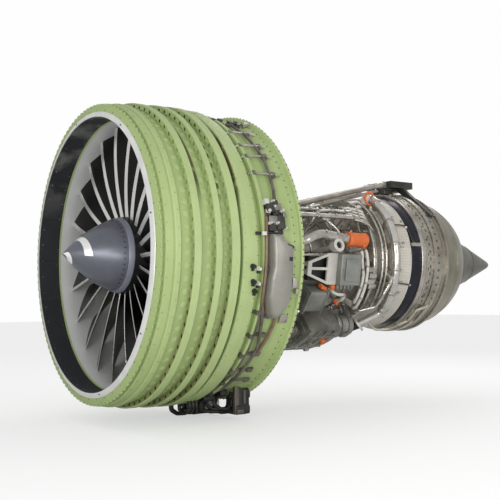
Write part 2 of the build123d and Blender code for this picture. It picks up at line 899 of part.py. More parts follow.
# Engine control unit on a bracket at the left side of the compressor
control_mid_x = control_front_x + control_length / 2
with BuildPart() as control_unit:
    with BuildSketch(side_plane(control_mid_x, control_angle, control_r)):
        Rectangle(control_length, control_width)
    extrude(amount=control_depth)
    with BuildSketch(side_plane(control_mid_x, control_angle, control_r + control_depth)):
        Rectangle(control_length - 2 * lid_inset, control_width - 2 * lid_inset)
    extrude(amount=lid_height)
control_unit.part.label = "control_unit"
export_step(control_unit.part, "parts/control_unit.step")

# Open frame bracket with two windows, carrying the control unit
bracket_length = control_front_x - frame_bracket_front_x
bracket_mid_x = frame_bracket_front_x + bracket_length / 2
bracket_ends = ((0, bracket_front_width / 2), (bracket_taper, control_width / 2))
with BuildPart() as control_bracket:
    with BuildSketch(side_plane(bracket_mid_x, control_angle, bracket_r)):
        with BuildLine():
            Polyline(
                (-bracket_length / 2, bracket_front_width / 2),
                (bracket_taper - bracket_length / 2, control_width / 2),
                (bracket_length / 2, control_width / 2),
                (bracket_length / 2, -control_width / 2),
                (bracket_taper - bracket_length / 2, -control_width / 2),
                (-bracket_length / 2, -bracket_front_width / 2),
                close=True,
            )
        make_face()
        for way in (-1, 1):
            front, rear = window_front, window_front + window_length
            with BuildLine():
                Polyline(
                    (front - bracket_length / 2, way * bracket_rim / 2),
                    (rear - bracket_length / 2, way * bracket_rim / 2),
                    (rear - bracket_length / 2, way * (on_line(rear, *bracket_ends) - bracket_rim)),
                    (front - bracket_length / 2, way * (on_line(front, *bracket_ends) - bracket_rim)),
                    close=True,
                )
            make_face(mode=Mode.SUBTRACT)
    extrude(amount=bracket_wall)
    for leg_side in (-1, 1):
        leg_x = frame_bracket_front_x + bracket_wall
        with BuildSketch(side_plane(leg_x, control_angle + bracket_leg_angle * leg_side, core_seat_r)):
            Rectangle(bracket_wall * 2, bracket_wall * 2)
        extrude(amount=bracket_r + bracket_wall / 2 - core_seat_r)
control_bracket.part.label = "control_bracket"
export_step(control_bracket.part, "parts/control_bracket.step")

# Large bleed duct rising from the compressor case and running aft, with its transport cap
duct_points = [
    side_plane(duct_front_x, duct_foot_angle, core_seat_r).origin,
    side_plane(duct_front_x, duct_foot_angle, duct_line_r).origin,
    side_plane(duct_middle_x, duct_middle_angle, duct_line_r).origin,
    side_plane(duct_rear_x, duct_angle, duct_line_r).origin,
]
with BuildPart() as bleed_duct:
    with BuildLine() as duct_path:
        FilletPolyline(*duct_points, radius=[duct_foot_bend, duct_bend])
    with BuildSketch(Plane(origin=duct_points[0], z_dir=duct_points[1] - duct_points[0])):
        Circle(duct_r)
    sweep(path=duct_path.wire())
bleed_duct.part.label = "bleed_duct"
export_step(bleed_duct.part, "parts/bleed_duct.step")

with BuildPart() as duct_cap:
    with BuildSketch(Plane(origin=duct_points[-1], z_dir=duct_points[-1] - duct_points[-2])):
        Circle(cap_r)
    extrude(amount=cap_length)
duct_cap.part.label = "duct_cap"
export_step(duct_cap.part, "parts/duct_cap.step")

# Cooling air manifold bent round the turbine case, from the case at its top to the combustor at its foot
manifold_seat_r = turbine_radius(manifold_x + manifold_r) + seat_gap
manifold_points = [side_plane(manifold_x, manifold_top_angle, manifold_seat_r).origin]
for k in range(manifold_bends + 1):
    angle = manifold_top_angle + (manifold_low_angle - manifold_top_angle) * k / manifold_bends
    manifold_points.append(side_plane(manifold_x, angle, manifold_line_r).origin)
for foot_r in (manifold_foot_line_r, combustor_r + seat_gap):
    manifold_points.append(side_plane(manifold_foot_x, manifold_foot_angle, foot_r).origin)
manifold_radii = [manifold_top_bend_r] + [manifold_bend_r] * (manifold_bends - 1)
manifold_radii += [manifold_low_bend_r, manifold_foot_bend_r]
with BuildPart() as cooling_manifold:
    with BuildLine() as manifold_path:
        FilletPolyline(*manifold_points, radius=manifold_radii)
    with BuildSketch(side_plane(manifold_x, manifold_top_angle, manifold_seat_r)):
        Circle(manifold_r)
    sweep(path=manifold_path.wire())
cooling_manifold.part.label = "cooling_manifold"
export_step(cooling_manifold.part, "parts/cooling_manifold.step")

# Fluid box low on the left side, on its own leg
fluid_box_mid_x = fluid_box_x + fluid_box_length / 2
with BuildPart() as heat_exchanger:
    with BuildSketch(side_plane(fluid_box_mid_x, fluid_box_angle, fluid_box_r)):
        Rectangle(fluid_box_length, fluid_box_width)
    extrude(amount=fluid_box_depth)
    with BuildSketch(side_plane(fluid_box_mid_x, fluid_box_angle, core_seat_r)):
        Rectangle(leg_width, leg_width)
    extrude(amount=fluid_box_r - core_seat_r + leg_width / 2)
heat_exchanger.part.label = "heat_exchanger"
export_step(heat_exchanger.part, "parts/heat_exchanger.step")

# Oil tank, curved to the left side of the fan case
tank_front_x = raceway_x + raceway_width + tank_clearance
tank_rear_x = tank_front_x + tank_lean + tank_body_width
with BuildPart() as oil_tank:
    with BuildSketch(Plane.XZ.offset(case_bore_r / 2)) as tank_outline:
        with BuildLine():
            Polyline(
                (tank_front_x, tank_top_z),
                (tank_front_x + tank_neck_width, tank_top_z),
                (tank_front_x + tank_neck_width + tank_lean, tank_neck_z),
                (tank_rear_x, tank_shoulder_z),
                (tank_rear_x, tank_belly_z),
                (tank_rear_x - tank_corner, tank_bottom_z),
                (tank_front_x + tank_lean + tank_corner, tank_bottom_z + tank_lean),
                (tank_front_x + tank_lean, tank_belly_z),
                (tank_front_x + tank_lean, tank_neck_z),
                close=True,
            )
        make_face()
        fillet(tank_outline.vertices(), tank_round)
    extrude(amount=tank_outer_r)
    with BuildSketch(Plane.YZ):
        Circle(tank_outer_r)
        Circle(case_seat_r, mode=Mode.SUBTRACT)
    extrude(amount=case_rear_x, mode=Mode.INTERSECT)
oil_tank.part.label = "oil_tank"
export_step(oil_tank.part, "parts/oil_tank.step")

# Harness raceway round the case behind the hoops
with BuildPart() as harness_raceway:
    with BuildSketch(Plane.XZ):
        with Locations((raceway_x + raceway_width / 2, case_seat_r + raceway_height / 2)):
            Rectangle(raceway_width, raceway_height)
    revolve(axis=Axis.X, revolution_arc=raceway_span)
harness_raceway.part.label = "harness_raceway"
export_step(harness_raceway.part, "parts/harness_raceway.step")

# Valve block above the tank
block_mid_x = raceway_x + raceway_width + valve_block_length / 2
with BuildPart() as valve_block:
    with BuildSketch(side_plane(block_mid_x, valve_block_angle, case_seat_r)):
        Rectangle(valve_block_length, valve_block_width)
    extrude(amount=valve_block_depth)
valve_block.part.label = "valve_block"
export_step(valve_block.part, "parts/valve_block.step")

# Hose and connector plate under the fan case
with BuildPart() as connector_plate:
    with BuildSketch(Plane.XY.offset(-case_seat_r - hose_plate_depth)):
        with Locations((hose_plate_x + hose_plate_length / 2, 0)):
            Rectangle(hose_plate_length, hose_plate_width)
    extrude(amount=hose_plate_depth)
    with BuildSketch(Plane.XY.offset(-case_seat_r - hose_plate_depth - connector_length)):
        with Locations((hose_plate_x + hose_plate_length / 2, 0)):
            with GridLocations(hose_plate_length / connector_count, 0, connector_count, 1):
                Circle(connector_r)
    extrude(amount=connector_length)
connector_plate.part.label = "connector_plate"
export_step(connector_plate.part, "parts/connector_plate.step")

# Hoses from the wide band of the case, hanging in a loop and up into the connectors
hose_foot_r = case_bore_r + hoops[-1][2] + seat_gap
hose_end_z = -case_seat_r - hose_plate_depth - connector_length
with BuildPart() as supply_hoses:
    for k in range(connector_count):
        end_x = hose_plate_x + hose_plate_length * (k + 0.5) / connector_count
        foot = side_plane(hose_foot_x + hose_foot_pitch * k, hose_foot_angle, hose_foot_r)
        with BuildLine() as hose_path:
            FilletPolyline(
                foot.origin,
                foot.origin + foot.z_dir * hose_rise,
                (end_x, 0, hose_end_z - hose_drop),
                (end_x, 0, hose_end_z),
                radius=hose_bend,
            )
        with BuildSketch(foot):
            Circle(hose_r)
        sweep(path=hose_path.wire())
supply_hoses.part.label = "supply_hoses"
export_step(supply_hoses.part, "parts/supply_hoses.step")

# Drain mast behind the connector plate
with BuildPart() as drain_mast:
    with BuildSketch(Plane.XZ.offset(-mast_thick / 2)):
        with BuildLine():
            mast_front_x = rear_flange_x - mast_length
            Polyline(
                (mast_front_x, -case_seat_r),
                (rear_flange_x - seat_gap, -case_seat_r),
                (rear_flange_x - seat_gap, -case_seat_r - mast_depth),
                (mast_front_x + mast_length / 2, -case_seat_r - mast_depth),
                close=True,
            )
        make_face()
    extrude(amount=mast_thick)
drain_mast.part.label = "drain_mast"
export_step(drain_mast.part, "parts/drain_mast.step")
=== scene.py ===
import math
import bmesh
import bpy
from mathutils import Matrix, Vector


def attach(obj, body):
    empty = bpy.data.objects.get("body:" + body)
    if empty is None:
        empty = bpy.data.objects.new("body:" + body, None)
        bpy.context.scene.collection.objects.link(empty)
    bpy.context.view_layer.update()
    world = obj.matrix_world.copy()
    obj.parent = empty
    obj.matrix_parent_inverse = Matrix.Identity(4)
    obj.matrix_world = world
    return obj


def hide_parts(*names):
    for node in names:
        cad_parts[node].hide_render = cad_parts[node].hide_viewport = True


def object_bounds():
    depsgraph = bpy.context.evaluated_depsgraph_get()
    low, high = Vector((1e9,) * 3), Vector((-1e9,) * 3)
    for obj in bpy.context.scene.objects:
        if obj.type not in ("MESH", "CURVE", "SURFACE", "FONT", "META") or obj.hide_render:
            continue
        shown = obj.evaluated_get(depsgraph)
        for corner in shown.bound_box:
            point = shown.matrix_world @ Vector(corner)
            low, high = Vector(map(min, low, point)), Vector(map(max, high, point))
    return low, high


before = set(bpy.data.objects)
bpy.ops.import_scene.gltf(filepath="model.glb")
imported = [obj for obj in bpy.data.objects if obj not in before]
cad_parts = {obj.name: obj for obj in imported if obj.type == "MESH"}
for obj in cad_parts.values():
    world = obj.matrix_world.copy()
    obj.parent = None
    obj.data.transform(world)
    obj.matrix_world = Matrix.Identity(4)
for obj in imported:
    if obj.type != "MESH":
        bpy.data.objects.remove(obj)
cadLow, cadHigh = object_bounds()
print("frame loaded")

# A jet engine. X runs aft along the shaft, Z is up, the origin is the centre of the intake ring.
# Angles round the shaft are in degrees above the left-hand side, which is -Y.


# node trees


class Wire:
    # an output on its way to an input, so that sums of values read as sums
    def __init__(self, tree, socket):
        self.tree, self.socket = tree, socket

    def maths(self, operation, *terms):
        return self.tree.node("ShaderNodeMath", {"operation": operation}, (self, *terms))

    def __add__(self, other):
        return self.maths("ADD", other)

    def __sub__(self, other):
        return self.maths("SUBTRACT", other)

    def __rsub__(self, other):
        return self.tree.node("ShaderNodeMath", {"operation": "SUBTRACT"}, (other, self))

    def __mul__(self, other):
        return self.maths("MULTIPLY", other)

    def __truediv__(self, other):
        return self.maths("DIVIDE", other)

    def __gt__(self, other):
        return self.maths("GREATER_THAN", other)

    def __lt__(self, other):
        return self.maths("LESS_THAN", other)

    __radd__ = __add__
    __rmul__ = __mul__


class Tree:
    # makes nodes in a material or a geometry group
    def __init__(self, nodeTree):
        self.nodes, self.links = nodeTree.nodes, nodeTree.links

    def node(self, kind, settings=None, values=(), out=0):
        node = self.nodes.new(kind)
        for key, value in (settings or {}).items():
            setattr(node, key, value)
        for key, value in values.items() if isinstance(values, dict) else enumerate(values):
            if isinstance(value, Wire):
                self.links.new(value.socket, node.inputs[key])
            else:
                node.inputs[key].default_value = value
        return Wire(self, node.outputs[out])


class Finish(Tree):
    # one material (its slot, for the pieces that wear it, is not used): patterns are read from Object
    # coordinates
    def __init__(self, name, slot=None):
        self.material = bpy.data.materials.new(name)
        self.material.use_nodes = True
        super().__init__(self.material.node_tree)
        self.nodes.clear()
        self.shader = self.nodes.new("ShaderNodeBsdfPrincipled")
        output = self.nodes.new("ShaderNodeOutputMaterial")
        self.links.new(self.shader.outputs[0], output.inputs[0])
        self.place = self.node("ShaderNodeTexCoord", out=3)
        split = self.node("ShaderNodeSeparateXYZ", values=[self.place]).socket.node
        self.x, self.y, self.z = (Wire(self, axis) for axis in split.outputs)

    def far(self):
        # distance from the shaft
        return (self.y * self.y + self.z * self.z).maths("SQRT")

    def angle(self):
        # degrees above the left-hand side
        return self.z.maths("ARCTAN2", 0 - self.y) * (180 / math.pi)

    def noise(self, scale, detail=3, rough=0.5, stretch=(1, 1, 1)):
        place = self.node("ShaderNodeVectorMath", {"operation": "MULTIPLY"}, [self.place, stretch])
        return self.node(
            "ShaderNodeTexNoise",
            values={"Vector": place, "Scale": scale, "Detail": detail, "Roughness": rough}
        )

    def mix(self, share, first, second):
        return self.node("ShaderNodeMix", {"data_type": "RGBA"}, {0: share, 6: first, 7: second}, out=2)

    def ramp(self, value, low, high):
        # 0 below low, 1 above high, clamped between
        return self.node("ShaderNodeMapRange", {"clamp": True}, {0: value, 1: low, 2: high})

    def bump(self, height, depth, share=1.0):
        return self.node("ShaderNodeBump", values={"Height": height, "Distance": depth, "Strength": share})

    def done(self, **looks):
        # looks are sockets by name, with underscores for spaces
        for key, value in looks.items():
            socket = self.shader.inputs[key.replace("_", " ")]
            if isinstance(value, Wire):
                self.links.new(value.socket, socket)
            else:
                socket.default_value = value
        return self.material


def paint(red, green, blue):
    # a colour as it is read off a screen, made linear
    return tuple(((part / 255 + 0.055) / 1.055) ** 2.4 for part in (red, green, blue)) + (1,)


# materials


greenSizes = {
    # painted shadow behind the hoops: strips along the shaft, and the heights between which the shadow is
    # painted
    "strips": ((0.512, 0.568), (0.754, 0.808), (0.98, 1.004)), "shadeFrom": (0.36, 0.66),
    "shadeTo": (1.46, 1.24),
}


def greenPrimer(name="greenPrimer", kind="skin"):
    f = Finish(name, "primer_green")
    mottle = f.noise(2.2, 4, 0.6)
    streaks = f.noise(9, 2, 0.5, (3, 0.4, 0.4))
    grime = f.ramp(f.noise(22, 5, 0.7), 0.60, 0.80)
    base = f.mix(mottle, paint(150, 169, 108), paint(180, 197, 138))
    base = f.mix(streaks * 0.35, base, paint(194, 208, 154))
    base = f.mix(grime * 0.30, base, paint(112, 124, 76))
    # painted shade, with dust: darker green below the hoop crowns, deepest on the channel floors
    base = f.mix(f.ramp(f.far(), 1.77, 1.735) * 0.28, base, paint(126, 150, 82))
    if kind == "shell":
        # painted shadow: patchy dark brown strips on the floor just behind each hoop, on the upper part of
        # the case
        height = f.ramp(f.z, *greenSizes["shadeFrom"]) * f.ramp(f.z, *greenSizes["shadeTo"])
        patches = f.ramp(f.noise(5, 4, 0.6), 0.25, 0.5)
        for front, rear in greenSizes["strips"]:
            strip = f.ramp(f.x, front, front + 0.006) * f.ramp(f.x, rear, rear - 0.01)
            base = f.mix(strip * height * patches * 0.9, base, paint(72, 60, 34))
    if kind == "web":
        # painted shade: the webs turn brown towards the bottom
        base = f.mix(f.ramp(f.z, 0.2, -0.7) * 0.6, base, paint(104, 94, 52))
    if kind == "hollow":
        # painted shade for the backs seen through the web holes: darker green all round, near black at the
        # top and the bottom
        base = f.mix(0.35, base, paint(122, 140, 82))
        shadedTopAndBottom = f.ramp(f.z, 0.95, 1.42) + f.ramp(f.z, 0.0, -0.75)
        base = f.mix(shadedTopAndBottom * 0.97, base, paint(26, 23, 15))
    rough = mottle * 0.12 + 0.42
    return f.done(Base_Color=base, Roughness=rough, Normal=f.bump(f.noise(60, 2), 0.0008), IOR=1.45)


def worn(name, slot, light, dark, metal, rough, grain=(1, 1, 1), scale=14, relief=0.0006, spots=0.0):
    # metal or paint with soft blotches and a fine grain along one axis
    f = Finish(name, slot)
    blotch = f.noise(scale * 0.35, 4, 0.6)
    fine = f.noise(scale * 6, 3, 0.6, grain)
    base = f.mix(f.ramp(blotch, 0.3, 0.7), paint(*light), paint(*dark))
    base = f.mix(fine * 0.22, base, paint(*[part * 0.72 for part in dark]))
    if spots:
        stain = f.ramp(f.noise(scale, 5, 0.75), 0.62, 0.7)
        base = f.mix(stain * spots, base, paint(*[part * 0.45 for part in dark]))
    return f.done(
        Base_Color=base,
        Roughness=blotch * 0.2 + (rough - 0.1),
        Metallic=metal,
        Normal=f.bump(fine, relief),
    )


def acousticPanel():
    f = Finish("acousticPanel", "black_hose")
    joint = f.ramp((f.angle() / 20).maths("FRACT") - 0.5, 0.492, 0.498)
    holes = f.node("ShaderNodeTexVoronoi", values={"Vector": f.place, "Scale": 190, "Randomness": 0.3})
    pits = f.ramp(holes, 0.28, 0.2)
    base = f.mix(f.noise(5, 4), paint(46, 47, 51), paint(32, 33, 38))
    # painted highlight: pale patches on the upper part of the panel
    upperHighlight = f.ramp(f.noise(3.2, 4, 0.55), 0.46, 0.66) * f.ramp(f.z, 0.5, 1.3)
    base = f.mix(upperHighlight * 0.75, base, paint(124, 124, 120))
    base = f.mix(pits * 0.3, base, paint(18, 18, 20))
    base = f.mix(joint, base, paint(15, 15, 15))
    return f.done(Base_Color=base, Roughness=0.55, Normal=f.bump(1 - joint, 0.003))


def rubStrip():
    f = Finish("rubStrip", "rub_strip")
    track = f.noise(7, 4, 0.6, (30, 1, 1))
    swept = f.ramp(f.x, 0.36, 0.46) * f.ramp(f.x, 0.76, 0.68)
    base = f.mix(track, paint(214, 214, 212), paint(188, 188, 187))
    base = f.mix(swept * 0.30, base, paint(150, 150, 152))
    return f.done(Base_Color=base, Roughness=0.6, Normal=f.bump(track, 0.0012))


def bladeBlack():
    f = Finish("bladeBlack", "blade_black")
    weave = f.noise(30, 3, 0.6, (1, 6, 6))
    base = f.mix(weave, paint(13, 13, 13), paint(6, 6, 6))
    return f.done(
        Base_Color=base, Roughness=f.noise(4) * 0.12 + 0.36, Specular_IOR_Level=0.22,
        Normal=f.bump(weave, 0.0004)
    )


def spinnerPaint(sizes):
    # dark grey with two white strokes, one at the tip and one behind it
    f = Finish("spinnerPaint", "spinner_grey")
    angle = f.angle()
    back = f.x - sizes["tipX"]
    start, end = sizes["markAngles"]
    along = f.ramp(angle, start, end)
    off = back - (along * sizes["markDrift"] + sizes["markBack"])
    mark = (off.maths("ABSOLUTE") < along * sizes["markGrowth"] + sizes["markHalf"]) * (angle > end)
    mark = mark * (angle < sizes["markTop"])
    under = f.ramp(angle, *sizes["tipAngles"])
    tip = (back < under * sizes["tipDrift"] + sizes["tipEnd"]) * (back > under * sizes["tipDrift"] - 0.004)
    tip = tip * (angle < sizes["tipAngles"][0])
    base = f.mix(f.noise(6, 4, 0.6), paint(112, 115, 124), paint(94, 97, 107))
    base = f.mix(f.ramp(f.noise(40, 4, 0.7), 0.64, 0.72) * 0.4, base, paint(60, 62, 66))
    base = f.mix((mark + tip) * 0.97, base, paint(240, 240, 238))
    return f.done(
        Base_Color=base, Roughness=f.noise(9) * 0.12 + 0.30, Metallic=0.35, Coat_Weight=0.2,
        Coat_Roughness=0.2
    )


def hubPaint():
    # a pale rim behind the spinner, dark between the blades
    f = Finish("hubPaint", "core_metal")
    base = f.mix(f.noise(5, 4, 0.6), paint(152, 154, 168), paint(128, 131, 144))
    base = f.mix(f.ramp(f.x, 0.398, 0.404), base, paint(20, 20, 22))
    return f.done(Base_Color=base, Roughness=f.noise(8) * 0.1 + 0.36, Metallic=0.3)


def wovenShield():
    # cream heat blanket, quilted and finely pricked
    f = Finish("wovenShield", "core_metal")
    quilt = (f.x * 34).maths("PINGPONG", 0.5) * (f.angle() * 0.42).maths("PINGPONG", 0.5) * 4
    pricks = f.ramp(quilt, 0.20, 0.04)
    base = f.mix(f.noise(5, 4, 0.6), paint(226, 221, 210), paint(198, 192, 180))
    base = f.mix(pricks * 0.30, base, paint(140, 134, 122))
    return f.done(Base_Color=base, Roughness=0.40, Metallic=0.3, Normal=f.bump(quilt, 0.003))


spinnerSizes = {
    "tipX": -0.30, "baseX": 0.33, "baseRadius": 0.428, "steps": 32,
    # the white strokes, in degrees and metres back from the tip
    "markAngles": (110, -8), "markTop": 122, "markBack": 0.18, "markDrift": 0.058, "markHalf": 0.021,
    "markGrowth": 0.018, "tipAngles": (24, -100), "tipDrift": 0.075, "tipEnd": 0.052,
    # count, station, distance from the shaft, size, height, first angle, sweep and sides of each screw row
    "screws": ((40, 0.286, 0.414, 0.007, 0.01, 0, 360, 10), (40, 0.302, 0.418, 0.004, 0.01)),
}

green = greenPrimer()
shellGreen = greenPrimer("shellGreen", "shell")
webGreen = greenPrimer("webGreen", "web")
hollowShade = greenPrimer("hollowShade", "hollow")
studGreen = worn("studGreen", "primer_green", (122, 140, 86), (92, 106, 64), 0.1, 0.5)
ringMetal = worn("ringMetal", "polished_ring", (240, 240, 238), (222, 222, 220), 0.35, 0.32, (1, 8, 8))
panelDark = acousticPanel()
stripGrey = rubStrip()
black = bladeBlack()
titanium = worn("titanium", "edge_titanium", (242, 240, 236), (228, 225, 220), 0.7, 0.28, (1, 1, 1), 4)
noseGrey = spinnerPaint(spinnerSizes)
hubGrey = hubPaint()
coreMetal = worn("coreMetal", "core_metal", (212, 207, 198), (156, 150, 141), 0.8, 0.3, (1, 4, 4), 12, 0.001,
                 0.5)
caseMetal = worn("caseMetal", "core_metal", (198, 192, 180), (146, 140, 128), 0.85, 0.32, (1, 5, 5), 10,
                 0.001, 0.5)
darkBand = worn("darkBand", "mount_metal", (44, 46, 56), (26, 27, 34), 0.5, 0.26, (1, 5, 5), 12)
nozzleMetal = worn("nozzleMetal", "nozzle_metal", (172, 167, 150), (128, 124, 108), 0.8, 0.3, (1, 5, 5), 6,
                   0.0006)
plugMetal = worn("plugMetal", "nozzle_metal", (134, 131, 120), (98, 96, 86), 0.8, 0.32, (5, 1, 1), 6, 0.0006)
tubeSteel = worn("tubeSteel", "bright_steel", (228, 224, 216), (172, 168, 160), 0.9, 0.25, (4, 4, 4), 14,
                 0.0003, 0.1)
pipeSilver = worn("pipeSilver", "bright_steel", (236, 233, 227), (192, 189, 182), 0.9, 0.20, (1, 3, 3), 8,
                  0.0003)
tubeWhite = worn("tubeWhite", "white_paint", (236, 232, 222), (198, 194, 184), 0.1, 0.4, (4, 4, 4), 14)
castGrey = worn("castGrey", "core_metal", (176, 174, 166), (112, 110, 104), 0.65, 0.30, (4, 4, 4), 16,
                0.0012, 0.6)
unitGrey = worn("unitGrey", "core_metal", (158, 159, 154), (126, 128, 122), 0.35, 0.38, (3, 3, 3), 12,
                0.0008, 0.3)
slotGrey = worn("slotGrey", "mount_metal", (120, 116, 106), (88, 84, 76), 0.7, 0.36, (1, 5, 5), 12)
tankGrey = worn("tankGrey", "tank_grey", (166, 164, 154), (142, 140, 132), 0.35, 0.42, (1, 3, 1), 8, 0.0006,
                0.2)
whitePaint = worn("whitePaint", "white_paint", (224, 222, 214), (196, 192, 182), 0.1, 0.4, (3, 3, 3), 14,
                  0.0004, 0.3)
orangeCap = worn("orangeCap", "orange_cap", (238, 122, 54), (206, 96, 40), 0.0, 0.5, (3, 3, 3), 14)
hoseBlack = worn("hoseBlack", "black_hose", (34, 33, 32), (20, 20, 19), 0.0, 0.5, (3, 3, 3), 18)
pipeBrown = worn("pipeBrown", "core_metal", (150, 124, 104), (112, 90, 74), 0.3, 0.4, (3, 3, 3), 18)
mountDark = worn("mountDark", "mount_metal", (92, 92, 86), (58, 58, 54), 0.6, 0.42, (3, 3, 3), 16, 0.0008,
                 0.4)
shieldCream = wovenShield()
boxGrey = worn("boxGrey", "core_metal", (164, 166, 158), (118, 120, 112), 0.45, 0.32, (1, 3, 3), 8, 0.0008,
               0.5)
tubeCream = worn("tubeCream", "bright_steel", (224, 218, 196), (184, 177, 156), 0.5, 0.32, (3, 3, 3), 14)
harnessGrey = worn("harnessGrey", "core_metal", (130, 124, 116), (78, 73, 68), 0.3, 0.42, (3, 3, 3), 18,
                   0.0006, 0.5)
linkMetal = worn("linkMetal", "mount_metal", (206, 200, 188), (150, 142, 130), 0.65, 0.32, (1, 4, 4), 10)
pipeNavy = worn("pipeNavy", "mount_metal", (58, 62, 72), (38, 40, 48), 0.6, 0.3, (1, 4, 4), 12)
print("materials made")


# shapes


def spot(x, angle, far):
    # a place from its station, its degrees above the left side and its distance from the shaft
    turn = math.radians(angle)
    return Vector((x, -far * math.cos(turn), far * math.sin(turn)))


class Shape:
    # verts and faces collected for one piece
    def __init__(self):
        self.verts, self.faces = [], []

    def add(self, verts, faces):
        first = len(self.verts)
        self.verts += [Vector(v) for v in verts]
        self.faces += [[first + i for i in face] for face in faces]
        return self

    def lathe(self, profile, steps=240, start=0, sweep=360, closed=True):
        # profile of (x, distance) points; a closed one is a ring of metal, an open one a skin
        whole = abs(sweep) > 359.9
        stops = steps if whole else steps + 1
        verts = [spot(x, start + sweep * k / steps, far) for k in range(stops) for x, far in profile]
        many = len(profile)
        faces = []
        for k in range(steps):
            here, after = k * many, ((k + 1) % stops) * many
            for i in range(many if closed else many - 1):
                j = (i + 1) % many
                corners = [here + i, here + j, after + j, after + i]
                if profile[i][1] < 1e-6:
                    corners = [here + i, here + j, after + j]
                if profile[j][1] < 1e-6:
                    corners = [here + i, here + j, after + i]
                faces.append(corners)
        if closed and not whole:
            faces.append(list(range(many)))
            faces.append([(stops - 1) * many + i for i in range(many)])
        return self.add(verts, faces)

    def block(self, x, angle, far, size, bevel=0.006, spin=0, segments=2):
        # a bevelled block standing on a round wall: size is along the shaft, across and outwards
        out = spot(0, angle, 1)
        across = Vector((1, 0, 0)).cross(out) * -1
        spun = Matrix.Rotation(math.radians(spin), 3, "Z")
        turn = Matrix((Vector((1, 0, 0)), across, out)).transposed() @ spun
        middle = spot(x, angle, far + size[2] / 2)
        return self.take(cuboid(size, bevel, segments), Matrix.Translation(middle) @ turn.to_4x4())

    def brick(self, middle, size, bevel):
        # a bevelled block lying square in the frame
        return self.take(cuboid(size, bevel, 3), Matrix.Translation(middle))

    def take(self, bm, matrix):
        bm.verts.index_update()
        self.add([matrix @ v.co for v in bm.verts], [[v.index for v in face.verts] for face in bm.faces])
        bm.free()
        return self

    def drum(self, start, end, profile, sides=40):
        # a turned body from one place to another; profile is (share of length, radius)
        start, end = Vector(start), Vector(end)
        way = (end - start).normalized()
        side = way.orthogonal().normalized()
        other = way.cross(side)
        verts, faces = [], []
        for share, far in profile:
            middle = start.lerp(end, share)
            for k in range(sides):
                turn = math.tau * k / sides
                verts.append(middle + side * far * math.cos(turn) + other * far * math.sin(turn))
        for row in range(len(profile) - 1):
            for k in range(sides):
                j = (k + 1) % sides
                faces.append([row * sides + k, row * sides + j, (row + 1) * sides + j, (row + 1) * sides + k])
        faces.append(list(range(sides)))
        faces.append([(len(profile) - 1) * sides + k for k in range(sides)])
        return self.add(verts, faces)

    def stub(self, x, angle, low, high, profile, sides):
        # a turned body standing on a round wall, between two distances from the shaft
        return self.drum(spot(x, angle, low), spot(x, angle, high), profile, sides)

    def mesh(self, name, finish, crease=32):
        made = bpy.data.meshes.new(name)
        made.from_pydata(self.verts, [], self.faces)
        return settle(made, finish, crease)


def cuboid(size, bevel, segments):
    bm = bmesh.new()
    bmesh.ops.create_cube(bm, size=1)
    bmesh.ops.scale(bm, vec=size, verts=bm.verts)
    bmesh.ops.bevel(bm, geom=bm.edges[:], offset=bevel, segments=segments, affect="EDGES", profile=0.6)
    return bm


def settle(mesh, finish, crease=32):
    # welds doubles, turns the faces outwards, shades smooth with sharp edges kept
    bm = bmesh.new()
    bm.from_mesh(mesh)
    bmesh.ops.remove_doubles(bm, verts=bm.verts, dist=1e-5)
    bmesh.ops.dissolve_degenerate(bm, dist=1e-6, edges=bm.edges)
    bmesh.ops.recalc_face_normals(bm, faces=bm.faces)
    limit = math.radians(crease)
    for edge in bm.edges:
        edge.smooth = not (edge.is_manifold and edge.calc_face_angle(0) > limit)
    for face in bm.faces:
        face.smooth = True
        face.material_index = 0
    bm.to_mesh(mesh)
    bm.free()
    mesh.materials.clear()
    mesh.materials.append(finish)
    return mesh


def place(name, made, finish=None, node="", body="casing", slot="", crease=32):
    # puts a shape or a finished mesh in the scene, tied to its body, in place of the CAD node that it names
    mesh = made.mesh(name, finish, crease) if finish else made
    piece = bpy.data.objects.new(name, mesh)
    bpy.context.collection.objects.link(piece)
    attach(piece, body)
    if node:
        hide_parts(node)


def joined(meshes):
    # several meshes as one shape
    whole = Shape()
    for mesh in meshes:
        whole.add([v.co for v in mesh.vertices], [list(face.vertices) for face in mesh.polygons])
    return whole


def turned(name, profile, finish, node="", steps=200, body="casing", slot="", crease=32, closed=True):
    # a piece that is one turned ring or skin
    place(name, Shape().lathe(profile, steps, closed=closed), finish, node, body, slot, crease)


# geometry groups


class Growth(Tree):
    # a geometry group with named inputs
    kinds = {"Count": "NodeSocketInt", "Sides": "NodeSocketInt", "Cell": "NodeSocketObject"}

    def __init__(self, name, *inputs):
        self.group = bpy.data.node_groups.new(name, "GeometryNodeTree")
        super().__init__(self.group)
        face = self.group.interface
        face.new_socket("Geometry", in_out="INPUT", socket_type="NodeSocketGeometry")
        for label in inputs:
            face.new_socket(label, in_out="INPUT", socket_type=self.kinds.get(label, "NodeSocketFloat"))
        face.new_socket("Finish", in_out="INPUT", socket_type="NodeSocketMaterial")
        face.new_socket("Geometry", in_out="OUTPUT", socket_type="NodeSocketGeometry")
        self.start = self.nodes.new("NodeGroupInput")

    def input(self, label):
        return Wire(self, self.start.outputs[label])

    def end(self, geometry):
        whole = self.node("GeometryNodeRealizeInstances", values=[geometry])
        painted = self.node("GeometryNodeSetMaterial",
                            values={"Geometry": whole, "Material": self.input("Finish")})
        output = self.nodes.new("NodeGroupOutput")
        self.links.new(painted.socket, output.inputs[0])
        return self.group


def grow(group, sizes, finish, source=None):
    # runs a geometry group once and returns the plain mesh
    seed = source or bpy.data.meshes.new("seed")
    holder = bpy.data.objects.new("holder", seed)
    bpy.context.collection.objects.link(holder)
    modifier = holder.modifiers.new("grow", "NODES")
    modifier.node_group = group
    sizes = dict(sizes, Finish=finish)
    for item in group.interface.items_tree:
        if item.name in sizes:
            modifier[item.identifier] = sizes[item.name]
    graph = bpy.context.evaluated_depsgraph_get()
    mesh = bpy.data.meshes.new_from_object(holder.evaluated_get(graph))
    holder.modifiers.remove(modifier)
    bpy.data.objects.remove(holder)
    return mesh


